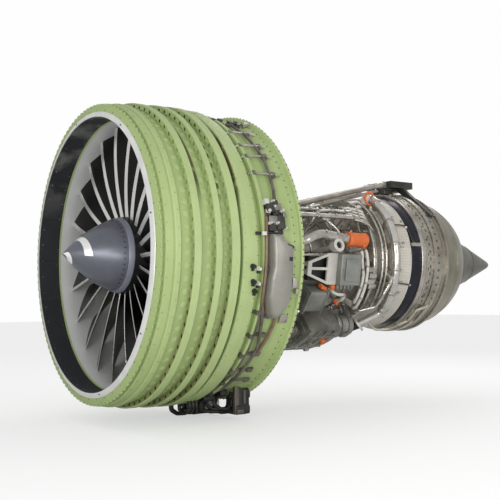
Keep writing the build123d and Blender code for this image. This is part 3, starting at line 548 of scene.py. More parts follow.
def copiesGroup():
    # copies of a cell turned about the shaft
    g = Growth("copiesRoundShaft", "Cell", "Count", "Start", "Sweep")
    line = g.node("GeometryNodeMeshLine", values={"Count": g.input("Count"), "Offset": (0, 0, 0)})
    index = g.node("GeometryNodeInputIndex")
    degrees = index / g.input("Count") * g.input("Sweep") + g.input("Start")
    turn = g.node("ShaderNodeCombineXYZ", values=[degrees * (-math.pi / 180)])
    cell = g.node("GeometryNodeObjectInfo", {"transform_space": "ORIGINAL"}, {"Object": g.input("Cell")},
                  out="Geometry")
    return g.end(g.node("GeometryNodeInstanceOnPoints",
                        values={"Points": line, "Instance": cell, "Rotation": turn}))


def studsGroup():
    # studs round the shaft, standing outwards, or along it where Axial is 1
    g = Growth("studsRoundShaft", "Count", "Start", "Sweep", "Station", "Radius", "Size", "Height", "Sides",
               "Axial")
    line = g.node("GeometryNodeMeshLine", values={"Count": g.input("Count"), "Offset": (0, 0, 0)})
    index = g.node("GeometryNodeInputIndex")
    turn = (index / g.input("Count") * g.input("Sweep") + g.input("Start")) * (math.pi / 180)
    y = turn.maths("COSINE") * g.input("Radius") * -1
    z = turn.maths("SINE") * g.input("Radius")
    spots = g.node("ShaderNodeCombineXYZ", values=[g.input("Station"), y, z])
    line = g.node("GeometryNodeSetPosition", values={"Geometry": line, "Position": spots})
    tilt = (math.pi / 2 - turn) * (1 - g.input("Axial"))
    lean = g.input("Axial") * (-math.pi / 2)
    facing = g.node("ShaderNodeCombineXYZ", values=[tilt, lean])
    return g.end(g.node("GeometryNodeInstanceOnPoints",
                        values={"Points": line, "Instance": peg(g), "Rotation": facing}))


def peg(g):
    sizes = {"Vertices": g.input("Sides"), "Radius": g.input("Size"), "Depth": g.input("Height")}
    return g.node("GeometryNodeMeshCylinder", values=sizes)


def bentLine(g):
    # the drawn lines with their corners rounded
    line = g.node("GeometryNodeMeshToCurve", values=[g.input("Geometry")])
    corners = {"Curve": line, "Radius": g.input("Bend"), "Limit Radius": True, "Count": 7}
    return g.node("GeometryNodeFilletCurve", {"mode": "POLY"}, corners)


def pipesGroup():
    # round pipes along drawn lines, with bends of one radius
    g = Growth("pipesAlongLines", "Radius", "Bend", "Sides")
    line = bentLine(g)
    hoop = g.node("GeometryNodeCurvePrimitiveCircle",
                  values={"Resolution": g.input("Sides"), "Radius": g.input("Radius")})
    return g.end(g.node("GeometryNodeCurveToMesh",
                        values={"Curve": line, "Profile Curve": hoop, "Fill Caps": True}))


def clipsGroup():
    # clips at an even pitch along drawn lines
    g = Growth("clipsAlongLines", "Bend", "Pitch", "Size", "Height", "Sides")
    pitch = {"Curve": bentLine(g), "Length": g.input("Pitch")}
    points = g.node("GeometryNodeCurveToPoints", {"mode": "LENGTH"}, pitch)
    facing = Wire(g, points.socket.node.outputs["Rotation"])
    return g.end(g.node("GeometryNodeInstanceOnPoints",
                        values={"Points": points, "Instance": peg(g), "Rotation": facing}))


copies, studs, pipes, clips = copiesGroup(), studsGroup(), pipesGroup(), clipsGroup()


def copiesOf(shape, count, finish, start=0, sweep=360):
    cell = bpy.data.objects.new("cell", shape.mesh("cell", finish))
    bpy.context.collection.objects.link(cell)
    mesh = grow(copies, {"Cell": cell, "Count": count, "Start": start, "Sweep": sweep}, finish)
    bpy.data.objects.remove(cell)
    return mesh


def studRing(finish, count, station, radius, size, height, start=0, sweep=360, sides=6, axial=0):
    values = {"Count": count, "Start": float(start), "Sweep": float(sweep), "Station": station,
              "Radius": radius}
    return grow(studs, dict(values, Size=size, Height=height, Sides=sides, Axial=float(axial)), finish)


def studRows(finish, rows, **more):
    # several rings of studs as one shape, each row as studRing takes it
    return joined([studRing(finish, *row, **more) for row in rows])


def drawn(runs):
    # lines as a mesh of edges, for the groups that follow them
    verts, edges = [], []
    for run in runs:
        edges += [(len(verts) + i, len(verts) + i + 1) for i in range(len(run) - 1)]
        verts += [Vector(point) for point in run]
    mesh = bpy.data.meshes.new("lines")
    mesh.from_pydata(verts, edges, [])
    return mesh


def pipeRuns(finish, runs, radius, bend=0.08, sides=12):
    return grow(pipes, {"Radius": radius, "Bend": bend, "Sides": sides}, finish, drawn(runs))


def clipRuns(finish, runs, pitch, size, height, bend=0.08, sides=12):
    values = {"Bend": bend, "Pitch": pitch, "Size": size, "Height": height, "Sides": sides}
    return grow(clips, values, finish, drawn(runs))


# fan case


caseSizes = {
    "floor": 1.722, "crownDepth": 0.016, "webWidth": 0.012, "holeCount": 80, "hole": (0.028, 0.021),
    # front, width and radius of each hoop
    "hoops": ((0.398, 0.082, 1.788), (0.65, 0.072, 1.796), (0.841, 0.1, 1.8)),
    "bandFront": 0.99, "bandRear": 1.19, "bandRadius": 1.79, "lobes": 116,
    "padForward": 0.04,
    "pad": ((0, 0.04), (0.25, 0.038), (0.55, 0.03), (0.80, 0.02), (0.95, 0.01), (1, 0.003)),
    # count, station, distance from the shaft, size, height and first angle of each row of studs
    "studs": ((60, 0.112, 1.744, 0.005, 0.005, 1.5), (60, 0.236, 1.758, 0.005, 0.005),
              (72, 1.012, 1.79, 0.005, 0.005), (72, 1.165, 1.788, 0.005, 0.005, 2.5)),
    "flangeBolts": ((120, 1.7, 1.734, 0.006, 0.01), (150, 1.785, 1.781, 0.007, 0.008),
                    (48, 0.0285, 1.662, 0.006, 0.006, 0, 360, 6, 1)),
}


def caseShell():
    floor = caseSizes["floor"]
    front, rear, far = caseSizes["bandFront"], caseSizes["bandRear"], caseSizes["bandRadius"]
    turned("caseShell", [
        (0.0505, 1.597), (0.0505, 1.645), (0.026, 1.645), (0.0375, 1.716), (0.041, 1.72), (0.06, 1.72),
        (0.064, 1.704), (0.088, 1.704), (0.091, 1.734), (0.098, 1.741),
        (0.13, 1.744), (0.178, 1.744), (0.184, 1.738), (0.19, 1.738), (0.195, 1.751), (0.204, 1.757),
        (0.254, 1.757), (0.262, 1.75), (0.266, 1.735), (0.278, floor + 0.003), (0.29, floor),
        (front - 0.004, floor), (front, floor + 0.004), (front, far - 0.012), (front + 0.01, far),
        (rear - 0.045, far - 0.002), (rear - 0.012, far - 0.014), (rear, far - 0.045), (rear + 0.006, 1.716),
        (rear + 0.02, 1.71), (1.6, 1.704), (1.63, 1.712), (1.655, 1.728), (1.7, 1.732), (1.752, 1.734),
        (1.76, 1.742), (1.766, 1.772), (1.772, 1.778), (1.796, 1.778), (1.8, 1.774), (1.8, 1.604),
        (1.792, 1.597),
    ], shellGreen, "fan_case", 360)
    lobe = Shape().block(0.0495, 0, 1.71, (0.022, 0.052, 0.026), 0.007)
    place("rimLobes", copiesOf(lobe, caseSizes["lobes"], green))


def caseHoops():
    # each hoop is a channel open to the rear, with holes through its front web
    depth, web, floor = caseSizes["crownDepth"], caseSizes["webWidth"], caseSizes["floor"]
    crowns, shadeBacks = Shape(), Shape()
    cells = []
    count = caseSizes["holeCount"]
    for start, width, far in caseSizes["hoops"]:
        rear = start + width
        crowns.lathe([
            (start, far - depth), (start, far - 0.004), (start + 0.004, far), (rear - 0.004, far),
            (rear, far - 0.004), (rear, far - depth - 0.012), (rear - 0.006, far - depth - 0.012),
            (rear - 0.006, far - depth),
        ], 360)
        # a thin ring just behind each web, painted with shade, seen through the holes
        shadeBacks.lathe(band(start + 0.018, start + 0.024, floor - 0.002, far - depth + 0.002, 0.001), 180)
        cell = webCell(start + 0.003, start + 0.003 + web, floor, far - depth, count)
        cells.append(copiesOf(cell, count, webGreen))
    place("caseCrowns", crowns, green)
    place("caseWebs", joined(cells), webGreen)
    place("hoopBacks", shadeBacks, hollowShade)


def webCell(frontX, rearX, low, high, count, sides=14):
    # one stretch of a hoop's web with an oval hole through it
    hole = caseSizes["hole"]
    half = math.pi / count
    middle = (low + high) / 2
    rim, inner = [], []
    for k in range(sides):
        turn = math.tau * (k + 0.5) / sides
        c, s = math.cos(turn), math.sin(turn)
        inner.append((hole[0] * c / middle, middle + hole[1] * s))
        scale = 1 / max(abs(c), abs(s))
        rim.append((half * c * scale, middle + (high - low) / 2 * s * scale))
    verts = []
    for x in (frontX, rearX):
        for loop in (rim, inner):
            verts += [spot(x, math.degrees(a), far) for a, far in loop]
    faces = []
    for k in range(sides):
        j = (k + 1) % sides
        faces.append([k, j, sides + j, sides + k])
        faces.append([2 * sides + k, 2 * sides + j, 3 * sides + j, 3 * sides + k])
        faces.append([sides + k, sides + j, 3 * sides + j, 3 * sides + k])
    return Shape().add(verts, faces)


def caseLattice():
    # soft round pads on the floor of each channel, in front of its hoop
    s = caseSizes
    half, low = 180 / s["holeCount"], s["floor"] - 0.003
    cells = []
    for start, _, _ in s["hoops"]:
        pad = Shape().stub(start - s["padForward"], half, low, low + 0.01, s["pad"], 14)
        cells.append(copiesOf(pad, s["holeCount"], green))
    place("caseLattice", joined(cells), green)


def caseFasteners():
    place("caseFasteners", studRows(studGreen, caseSizes["studs"]), studGreen)
    place("flangeBolts", studRows(mountDark, caseSizes["flangeBolts"]), mountDark)


intakeSizes = {
    # profiles of station and distance from the shaft
    "ring": ((0.003, 1.585), (0.0, 1.588), (0.0, 1.592), (0.021, 1.642), (0.025, 1.6445), (0.05, 1.6445),
             (0.05, 1.597), (0.012, 1.597), (0.012, 1.585)),
    "panel": ((0.0125, 1.5955), (0.0125, 1.586), (0.276, 1.586), (0.285, 1.5955)),
    "lip": ((0.286, 1.5965), (0.286, 1.582), (0.289, 1.578), (0.301, 1.578), (0.303, 1.5965)),
    "tipStrip": ((0.3035, 1.5965), (0.3035, 1.576), (0.311, 1.5745), (0.758, 1.5745), (0.765, 1.576),
                 (0.765, 1.5965)),
    "duct": ((0.766, 1.5965), (0.766, 1.59), (1.18, 1.59), (1.19, 1.5965)),
    # count, station, distance, size, height, first angle, sweep, sides and 1 for along the shaft
    "holes": (8, 0.0085, 1.612, 0.009, 0.01, 12, 360, 16, 1),
    "fasteners": ((48, 0.06, 1.586, 0.009, 0.006, 0, 360, 10), (48, 0.25, 1.586, 0.006, 0.006, 2, 360, 8)),
}


def intake():
    s = intakeSizes
    turned("attachRing", s["ring"], ringMetal, "inlet_ring", 360)
    turned("intakePanel", s["panel"], panelDark, steps=360)
    turned("panelEdge", s["lip"], green, steps=360)
    turned("tipStrip", s["tipStrip"], stripGrey, "abradable_liner", 360)
    turned("ductPanel", s["duct"], stripGrey, steps=360)
    place("ringHoles", studRing(mountDark, *s["holes"]), slot="black_hose")
    place("panelFasteners", studRows(tubeSteel, s["fasteners"]), tubeSteel)


# fan


bladeSizes = {
    "count": 22, "tipRadius": 1.565, "leadX": (0.455, 0.415, 0.44), "chord": (0.43, 0.545, 0.59),
    "stagger": (22, 46, 64), "thick": (0.064, 0.014), "camber": (0.09, 0.02), "edge": 0.044, "backEdge": 0.01,
    "firstAngle": 27.6, "hub": ((0.33, 0.428), (0.94, 0.572)), "spanSteps": 22, "chordSteps": 14,
}


def along(span, values):
    root, middle, tip = values
    return root + span * (4 * middle - 3 * root - tip) + span**2 * (2 * root - 4 * middle + 2 * tip)


def hubAt(x):
    (frontX, frontR), (rearX, rearR) = bladeSizes["hub"]
    return frontR + (x - frontX) * (rearR - frontR) / (rearX - frontX)


def bladePoint(span, share, side):
    s = bladeSizes
    chord = along(span, s["chord"])
    stagger = math.radians(along(span, s["stagger"]))
    thick = s["thick"][0] + (s["thick"][1] - s["thick"][0]) * span
    camber = s["camber"][0] + (s["camber"][1] - s["camber"][0]) * span
    bulge = 4 * share * (1 - share)
    rise = chord * camber * bulge + side * thick / 2 * math.sqrt(bulge)
    x = along(span, s["leadX"]) + share * chord * math.cos(stagger) - rise * math.sin(stagger)
    across = (share - 0.5) * chord * math.sin(stagger) + rise * math.cos(stagger)
    root = hubAt(x) - 0.004
    far = root + span * (s["tipRadius"] - root)
    turn = math.radians(s["firstAngle"]) + across / far
    return Vector((x, far * math.cos(turn), far * math.sin(turn)))


def bladeShape(shares, others):
    # a skin through both sides of the blade over the given shares of its chord, as many on each side
    rows = bladeSizes["spanSteps"]
    rim = [(share, 1) for share in shares] + [(share, -1) for share in reversed(others)]
    verts, faces = [], []
    for row in range(rows + 1):
        verts += [bladePoint(row / rows, share, side) for share, side in rim]
    many = len(rim)
    for row in range(rows):
        for i in range(many):
            j = (i + 1) % many
            faces.append([row * many + i, row * many + j, (row + 1) * many + j, (row + 1) * many + i])
    for end in (0, rows):
        for i in range(len(shares) - 1):
            faces.append([end * many + i, end * many + i + 1, end * many + many - 2 - i,
                          end * many + many - 1 - i])
    return Shape().add(verts, faces)


def fan():
    s = bladeSizes
    steps = s["chordSteps"]
    bodies, noses = [], []
    for width in (s["edge"], s["backEdge"]):
        edge = width / s["chord"][1]
        bodies.append([round(edge + (1 - edge) * (k / steps), 5) for k in range(steps)] + [0.995])
        noses.append([0.0005, edge * 0.12, edge * 0.3, edge * 0.6, edge])
    blades = settle(copiesOf(bladeShape(*bodies), s["count"], black), black, 50)
    place("blades", blades, node="fan_blades", body="fan_spool")
    edges = settle(copiesOf(bladeShape(*noses), s["count"], titanium), titanium, 60)
    place("bladeEdges", edges, node="blade_leading_edges", body="fan_spool")


def nose():
    s = spinnerSizes
    tipX, base, baseX = s["tipX"], s["baseRadius"], s["baseX"]
    profile = [(tipX, 0)]
    for k in range(1, s["steps"] + 1):
        share = (k / s["steps"]) ** 1.4
        profile.append((tipX + share * (baseX - tipX), base * (1.5 * share - 0.5 * share**2)))
    profile += [(baseX, base - 0.014), (baseX - 0.06, base - 0.05)]
    turned("noseCone", profile, noseGrey, "spinner", 160, "fan_spool", crease=40, closed=False)
    place("noseBolts", studRows(mountDark, s["screws"]), mountDark, body="fan_spool")
    turned("fanHub", [
        (0.331, 0.4), (0.331, 0.43), (0.338, 0.434), (0.392, 0.448), (0.4, 0.4445), (0.94, 0.572),
        (0.94, 0.4),
    ], hubGrey, "fan_disk", body="fan_spool")


# pieces on the fan case and the core


def route(*stations, step=7):
    # points through (x, angle, distance) stations, following the round wall between them
    points = [spot(*stations[0])]
    for here, after in zip(stations, stations[1:]):
        many = max(1, round(abs(after[1] - here[1]) / step))
        for k in range(1, many + 1):
            share = k / many
            points.append(spot(*[a + (b - a) * share for a, b in zip(here, after)]))
    return points


def eased(points, steps=6):
    # a smooth line through the points of a profile
    found = []
    ends = [points[0], *points, points[-1]]
    for i in range(len(points) - 1):
        a, b, c, d = (Vector(point) for point in ends[i:i + 4])
        bend, twist = 2 * a - 5 * b + 4 * c - d, 3 * b - a - 3 * c + d
        for k in range(steps):
            t = k / steps
            found.append(tuple(b + (c - a) * (t / 2) + bend * (t**2 / 2) + twist * (t**3 / 2)))
    return found + [tuple(points[-1])]


def band(front, rear, low, high, edge=0.004):
    # the profile of a flat ring with eased corners
    return [
        (front, low), (front, high - edge), (front + edge, high), (rear - edge, high), (rear, high - edge),
        (rear, low),
    ]


def turbineFar(x):
    # the outside of the turbine case, a cone
    frontX, length, front, rear = 3.72, 0.98, 0.822, 0.985
    return front + (x - frontX) * (rear - front) / length


coreSizes = {
    "flanges": ((1.806, 0.505, 0.545), (2.15, 0.505, 0.536), (2.64, 0.505, 0.536), (3.13, 0.505, 0.556),
                (3.17, 0.66, 0.692), (3.44, 0.66, 0.686), (3.69, 0.66, 0.7), (3.735, 0.822, 0.856)),
    "flangeWidth": 0.026, "flangeBolts": 56,
    "leverRings": (1.93, 2.03, 2.25, 2.37, 2.49), "leverCount": 44, "bossCount": 18,
}


def coreDressing():
    s = coreSizes
    half = s["flangeWidth"] / 2
    flanges, bolts = Shape(), []
    for x, low, high in s["flanges"]:
        flanges.lathe(band(x - half, x + half, low + 0.0006, high, 0.003), 160)
        bolts.append((s["flangeBolts"], x, high - 0.012, 0.009, 0.046))
    place("coreFlanges", flanges, coreMetal)
    place("coreBolts", studRows(tubeSteel, bolts, axial=1), tubeSteel)
    rings, levers = Shape(), []
    for x in s["leverRings"]:
        rings.lathe(band(x, x + 0.018, 0.536, 0.548, 0.003), 160)
        lever = Shape().block(x - 0.016, 0, 0.5465, (0.062, 0.014, 0.006), 0.002, 16, 1)
        lever.stub(x - 0.044, 0, 0.505, 0.556, [(0, 0.011), (0.9, 0.011), (1, 0.007)], 10)
        lever.block(x + 0.009, 0, 0.505, (0.012, 0.01, 0.04), 0.002, 0, 1)
        levers.append(copiesOf(lever, s["leverCount"], tubeSteel, start=x * 40))
    place("leverRings", rings, coreMetal)
    place("vaneLevers", joined(levers), tubeSteel)
    # bosses on the combustor case, between the stems
    cell = Shape().stub(3.56, 0, 0.658, 0.7, [(0, 0.03), (0.75, 0.028), (0.8, 0.02), (1, 0.018)], 14)
    cell.block(3.25, 5, 0.658, (0.07, 0.05, 0.016), 0.004, 0, 1)
    place("combustorBosses", copiesOf(cell, s["bossCount"], coreMetal))


turbineSizes = {
    "darkBand": (4.303, 4.462), "lightRing": (4.466, 4.562), "slotBand": (4.566, 4.668), "slotCount": 60,
    "studStations": (4.59, 4.65), "hookCount": 30, "seamCount": 12, "shield": (4.045, 4.171, 4.3),
    # count, station, distance from the shaft, size and height of each row of bolts along the shaft
    "bolts": ((90, 4.7, 0.998, 0.009, 0.074), (90, 4.936, 0.998, 0.008, 0.042)),
}


def turbineDressing():
    s = turbineSizes
    (darkX, darkEnd), (lightX, lightEnd), (slotX, slotEnd) = s["darkBand"], s["lightRing"], s["slotBand"]
    darkFar, darkRear = turbineFar(darkX), turbineFar(darkEnd)
    turned("darkBand", [
        (darkX, darkFar + 0.001), (darkX, darkFar + 0.012), (darkX + 0.01, darkFar + 0.016),
        (darkEnd - 0.01, darkRear + 0.014), (darkEnd, darkRear + 0.01), (darkEnd, darkRear + 0.001),
    ], darkBand)
    far, rear = turbineFar(lightX), turbineFar(lightEnd)
    turned("lightRing", [
        (lightX, far + 0.001), (lightX, far + 0.026), (lightX + 0.006, far + 0.032),
        (lightX + 0.03, far + 0.032), (lightX + 0.034, far + 0.022), (lightEnd - 0.022, far + 0.028),
        (lightEnd - 0.018, far + 0.038), (lightEnd - 0.004, far + 0.038), (lightEnd, far + 0.032),
        (lightEnd, rear + 0.001),
    ], coreMetal)
    far, rear = turbineFar(slotX), turbineFar(slotEnd)
    turned("slotBand", [
        (slotX, far + 0.001), (slotX, far + 0.01), (slotEnd, rear + 0.01), (slotEnd, rear + 0.001),
    ], caseMetal)
    middle = (slotX + slotEnd) / 2
    slot = Shape().block(middle, 0, turbineFar(middle) + 0.004, (0.024, 0.046, 0.009), 0.003, 0, 1)
    dimple = Shape().block(4.775, 0, 0.983, (0.03, 0.03, 0.006), 0.002, 0, 1)
    slots = [copiesOf(slot, s["slotCount"], slotGrey), copiesOf(dimple, s["slotCount"], slotGrey, start=3)]
    place("bandSlots", joined(slots), slotGrey)
    studs = []
    for x in s["studStations"]:
        studs.append(studRing(tubeSteel, 60, x, turbineFar(x) + 0.014, 0.008, 0.012, start=3))
    studs += [studRing(tubeSteel, *row, axial=1) for row in s["bolts"]]
    studs.append(studRing(tubeSteel, 48, 4.82, 0.986, 0.009, 0.01, sides=8))
    place("bandBolts", joined(studs), tubeSteel)
    hook = Shape().block(4.735, 0, 0.985, (0.04, 0.03, 0.022), 0.004, 0, 1)
    hook.block(4.6, 4, turbineFar(4.6) + 0.01, (0.044, 0.026, 0.022), 0.004, 0, 1)
    place("bandLugs", copiesOf(hook, s["hookCount"], caseMetal))
    turned("frameSeam", band(4.855, 4.87, 0.9855, 0.99, 0.002), nozzleMetal, slot="core_metal")
    # edges and seams of the heat shield
    front, middle, end = s["shield"]
    far, rear = turbineFar(front) + 0.0125, turbineFar(end) + 0.0125
    lip = [(4.04, far - 0.01), (4.04, far + 0.004), (4.052, far + 0.005), (4.054, far - 0.008)]
    edges = Shape().lathe(lip, 160)
    lip = [(4.286, rear - 0.012), (4.286, rear + 0.003), (4.299, rear + 0.004), (4.301, rear - 0.01)]
    edges.lathe(lip, 160)
    place("shieldEdges", edges, tubeWhite)
    seam = Shape().block(middle, 0, turbineFar(middle) + 0.012, (0.236, 0.012, 0.004), 0.0015, 0, 1)
    place("shieldSeams", copiesOf(seam, s["seamCount"], castGrey, start=10))


exhaustSizes = {
    "nozzle": ((4.95, 0.968), (5.05, 0.95), (5.16, 0.925), (5.25, 0.9), (5.35, 0.862), (5.44, 0.817),
               (5.52, 0.765)),
    "plug": ((5.03, 0.64), (5.16, 0.65), (5.3, 0.641), (5.42, 0.618), (5.5, 0.596), (5.7, 0.523),
             (6.1, 0.369), (6.5, 0.216), (6.78, 0.108), (6.9, 0.06), (6.95, 0.03)),
    "wall": 0.01,
}


def exhaust():
    s = exhaustSizes
    outer = eased(s["nozzle"])
    inner = [(x, far - s["wall"]) for x, far in reversed(outer[:-1])]
    lip = (outer[-1][0] + 0.002, outer[-1][1] - 0.003)
    turned("exhaustNozzle", outer + [lip] + inner, nozzleMetal, "exhaust_nozzle", 240)
    plug = [(4.881, 0), (4.881, 0.284)] + eased(s["plug"]) + [(6.966, 0.014), (6.97, 0)]
    turned("exhaustPlug", plug, plugMetal, "exhaust_plug", closed=False)
    seams = Shape().lathe(band(5.244, 5.258, 0.894, 0.9035, 0.002), 200)
    place("nozzleSeams", seams.lathe(band(4.951, 4.975, 0.96, 0.973, 0.003), 200), nozzleMetal)
    seams = Shape().lathe(band(5.5, 5.512, 0.588, 0.5995, 0.002), 160)
    place("plugSeams", seams.lathe(band(6.28, 6.29, 0.292, 0.3035, 0.002), 120), plugMetal)


manifoldSizes = {
    "pipe": 0.06, "x": 3.96, "far": 0.985, "topAngle": 60, "lowAngle": -48,
    "clampAngles": (50, 30, 11, -9, -28, -44), "hoop": 0.088, "hoopWire": 0.016,
    "clamp": ((0, 0.06), (0, 0.068), (0.2, 0.071), (0.8, 0.071), (1, 0.068), (1, 0.06)),
    "flange": ((0, 0.06), (0, 0.094), (0.15, 0.098), (0.85, 0.098), (1, 0.094), (1, 0.06)),
    "dome": ((0, 0.058), (0.55, 0.058), (0.75, 0.05), (0.90, 0.034), (0.98, 0.015), (1, 0.004)),
}


def manifold():
    s = manifoldSizes
    x, far = s["x"], s["far"]
    points = [spot(x, s["topAngle"] + 2, 0.872)] + route((x, s["topAngle"], far), (x, s["lowAngle"], far))
    points += [spot(3.625, -64, 1.03), spot(3.625, -64, 0.66)]
    place("coolingPipe", pipeRuns(pipeSilver, [points], s["pipe"], 0.09, 24), node="cooling_manifold")
    clamps = Shape()
    for angle in s["clampAngles"]:
        clamps.drum(spot(x, angle + 1.1, far), spot(x, angle - 1.1, far), s["clamp"], 28)
        clamps.block(x, angle, 0.88, (0.05, 0.06, 0.052), 0.008)
        clamps.block(x + 0.08, angle, far - 0.02, (0.03, 0.036, 0.034), 0.006)
    place("pipeClamps", clamps, coreMetal)
    # an orange ring on a white dome
    turns = [math.tau * k / 10 for k in range(10)]
    wire, hoop = s["hoopWire"], s["hoop"]
    ring = Shape().lathe([(wire * math.cos(t), hoop + wire * math.sin(t)) for t in turns], 40)
    facing = Vector((1, 0, 0)).rotation_difference(spot(0, 8, 1)).to_matrix()
    ring.verts = [facing @ v + spot(3.9, 56, 1.0) for v in ring.verts]
    place("coverRing", ring, orangeCap, crease=60)
    place("ringDome", Shape().stub(3.9, 60, 0.9, 1.055, s["dome"], 24), tubeWhite)
    low = route((3.68, -59, 1.03), (3.57, -67, 1.03), (3.4, -75, 1.03), (3.212, -78, 1.03))
    place("deliveryPipe", pipeRuns(pipeNavy, [low], 0.052, 0.08, 20))
    flange = Shape().drum(spot(3.69, -58.5, 1.024), spot(3.672, -59.8, 1.03), s["flange"], 32)
    place("pipeFlange", flange, whitePaint)


unitSizes = {
    # node: name, first station, angle, way along the shaft, length, radius and finish
    "generator": ("generatorUnit", 3.22, -60, 1, 0.33, 0.165, castGrey),
    "starter": ("starterUnit", 3.22, -92, 1, 0.3, 0.135, tubeSteel),
    "hydraulic_pump": ("pressurePump", 3.22, -120, 1, 0.26, 0.105, castGrey),
    "fuel_pump": ("fuelPump", 2.7, -66, -1, 0.26, 0.105, castGrey),
}
unitProfile = [
    (0.00, 0.97), (0.05, 1.00), (0.11, 1.00), (0.12, 0.84), (0.22, 0.82), (0.24, 0.93), (0.29, 0.93),
    (0.31, 0.84), (0.56, 0.84), (0.58, 0.96), (0.66, 0.96), (0.68, 0.84), (0.84, 0.80), (0.87, 0.70),
    (0.88, 0.52), (0.94, 0.50), (0.97, 0.42), (1.00, 0.20),
]


def gearUnits():
    for node, (name, x, angle, way, length, far, finish) in unitSizes.items():
        start, end = spot(x, angle, 1.02), spot(x + way * length, angle, 1.02)
        shape = Shape().drum(start, end, [(share, far * part) for share, part in unitProfile], 44)
        for k in range(12):
            turn = math.tau * k / 12
            at = start.lerp(end, 0.055) + Vector((0, math.cos(turn), math.sin(turn))) * far * 0.92
            shape.drum(at, at + Vector((way * 0.03, 0, 0)), [(0, 0.009), (0.8, 0.009), (1, 0.006)], 8)
        plate = (length * 0.30, 0.09, far * 0.16)
        shape.block(x + way * length * 0.45, angle, 1.02 + far * 0.82, plate, 0.008)
        place(name, shape, finish, node)


gearboxSizes = {
    "ribs": (2.83, 2.96, 3.09), "start": -128, "sweep": 76, "outer": 1.196, "rib": 1.213,
    # angle and station of the oil caps, and count, station and distance of each row of bolts
    "caps": ((-98, 2.80), (-82, 3.06), (-112, 3.02), (-66, 2.86)),
    "bolts": ((26, 2.716, 1.15), (26, 3.204, 1.15), (22, 2.716, 0.89), (22, 3.204, 0.89)),
}


def gearbox():
    s = gearboxSizes
    outer, rib = s["outer"], s["rib"]
    profile = [(2.7, 0.862), (2.7, 1.17), (2.712, outer - 0.004), (2.724, outer)]
    for x in s["ribs"]:
        profile += [(x - 0.014, outer), (x - 0.009, rib), (x + 0.009, rib), (x + 0.014, outer)]
    profile += [(3.196, outer), (3.208, outer - 0.004), (3.22, 1.17), (3.22, 0.862), (3.208, 0.85),
                (2.712, 0.85)]
    shape = Shape().lathe(profile, 72, s["start"], s["sweep"])
    for side in (-1, 1):
        shape.block(2.79, -90 + side * 21, 0.505, (0.08, 0.08, 0.35), 0.012)
    for angle in (-122, -106, -74, -58):
        shape.block(2.96, angle, 1.19, (0.42, 0.02, 0.026), 0.006)
        shape.block(2.7, angle, 0.9, (0.05, 0.07, 0.24), 0.01)
    for angle, x in s["caps"]:
        profile = [(0, 0.052), (0.4, 0.05), (0.5, 0.04), (0.9, 0.038), (1, 0.026)]
        shape.stub(x, angle, 1.19, 1.24, profile, 20)
    place("gearHousing", shape, castGrey, "accessory_gearbox")
    bolts = [(*row, 0.009, 0.05, -126, s["sweep"]) for row in s["bolts"]]
    place("gearBolts", studRows(tubeSteel, bolts, axial=1), tubeSteel)


boxSizes = {
    "unit": (3.165, -10), "fluid": (2.725, -36), "screwAngles": (-20.6, -15, -10, -5, 0.6),
    "screw": ((0, 0.01), (0.8, 0.01), (1, 0.006)), "plugs": 5,
    "plug": ((0, 0.024), (0.6, 0.024), (0.65, 0.02), (1, 0.018)),
    "cap": ((0, 0.06), (0, 0.088), (0.04, 0.096), (0.16, 0.098), (0.20, 0.092), (0.80, 0.09), (0.86, 0.098),
            (0.96, 0.098), (1, 0.09)),
    "bands": ((2.78, 16.6), (2.96, 15.3), (3.11, 13.9)),
    "band": ((0, 0.06), (0, 0.069), (1, 0.069), (1, 0.06)),
}


def boxes():
    # the control unit, the fluid box, the duct's cover and what is bolted to them
    s = boxSizes
    x, angle = s["unit"]
    unit = Shape().block(x, angle, 0.88, (0.33, 0.4, 0.13), 0.014, 0, 3)
    unit.block(x, angle, 1.008, (0.21, 0.28, 0.028), 0.008, 0, 3)
    unit.block(x, angle, 1.03, (0.12, 0.17, 0.008), 0.003)
    for dx in (-0.13, 0.13):
        for turn in s["screwAngles"]:
            at = spot(x + dx, turn, 1.006)
            unit.drum(at, at + spot(0, angle, 0.016), s["screw"], 8)
    for k in range(s["plugs"]):
        at = spot(3.045 + 0.06 * k, -22.4, 0.925)
        unit.drum(at, at + spot(0, -100, 0.06), s["plug"], 14)
    place("controlUnit", unit, unitGrey, "control_unit")
    x, angle = s["fluid"]
    fluid = Shape().block(x, angle, 0.8, (0.33, 0.3, 0.2), 0.05, 0, 5)
    fluid.block(x, angle, 0.505, (0.086, 0.086, 0.32), 0.012)
    for end in (2.585, 2.865):
        fluid.block(end, angle, 0.792, (0.022, 0.326, 0.214), 0.006)
    fluid.block(x, angle, 0.99, (0.2, 0.2, 0.014), 0.005)
    place("fluidBox", fluid, boxGrey, "heat_exchanger")
    # a black block behind the bracket's windows: painted shade seen through them
    place("bracketUnit", Shape().block(2.77, -10, 0.5, (0.33, 0.33, 0.33), 0.02, 0, 3), hoseBlack)
    cap = Shape().drum(spot(3.145, 13.6, 0.96), spot(3.452, 13.0, 0.958), s["cap"], 40)
    place("ductCover", cap.block(3.4, 9.0, 0.99, (0.08, 0.06, 0.02), 0.006, 12), orangeCap, "duct_cap")
    bands = Shape()
    for x, angle in s["bands"]:
        bands.drum(spot(x, angle, 0.958), spot(x + 0.03, angle - 0.2, 0.958), s["band"], 28)
        bands.block(x + 0.015, angle, 1.018, (0.03, 0.04, 0.02), 0.004)
    place("ductBands", bands, coreMetal)


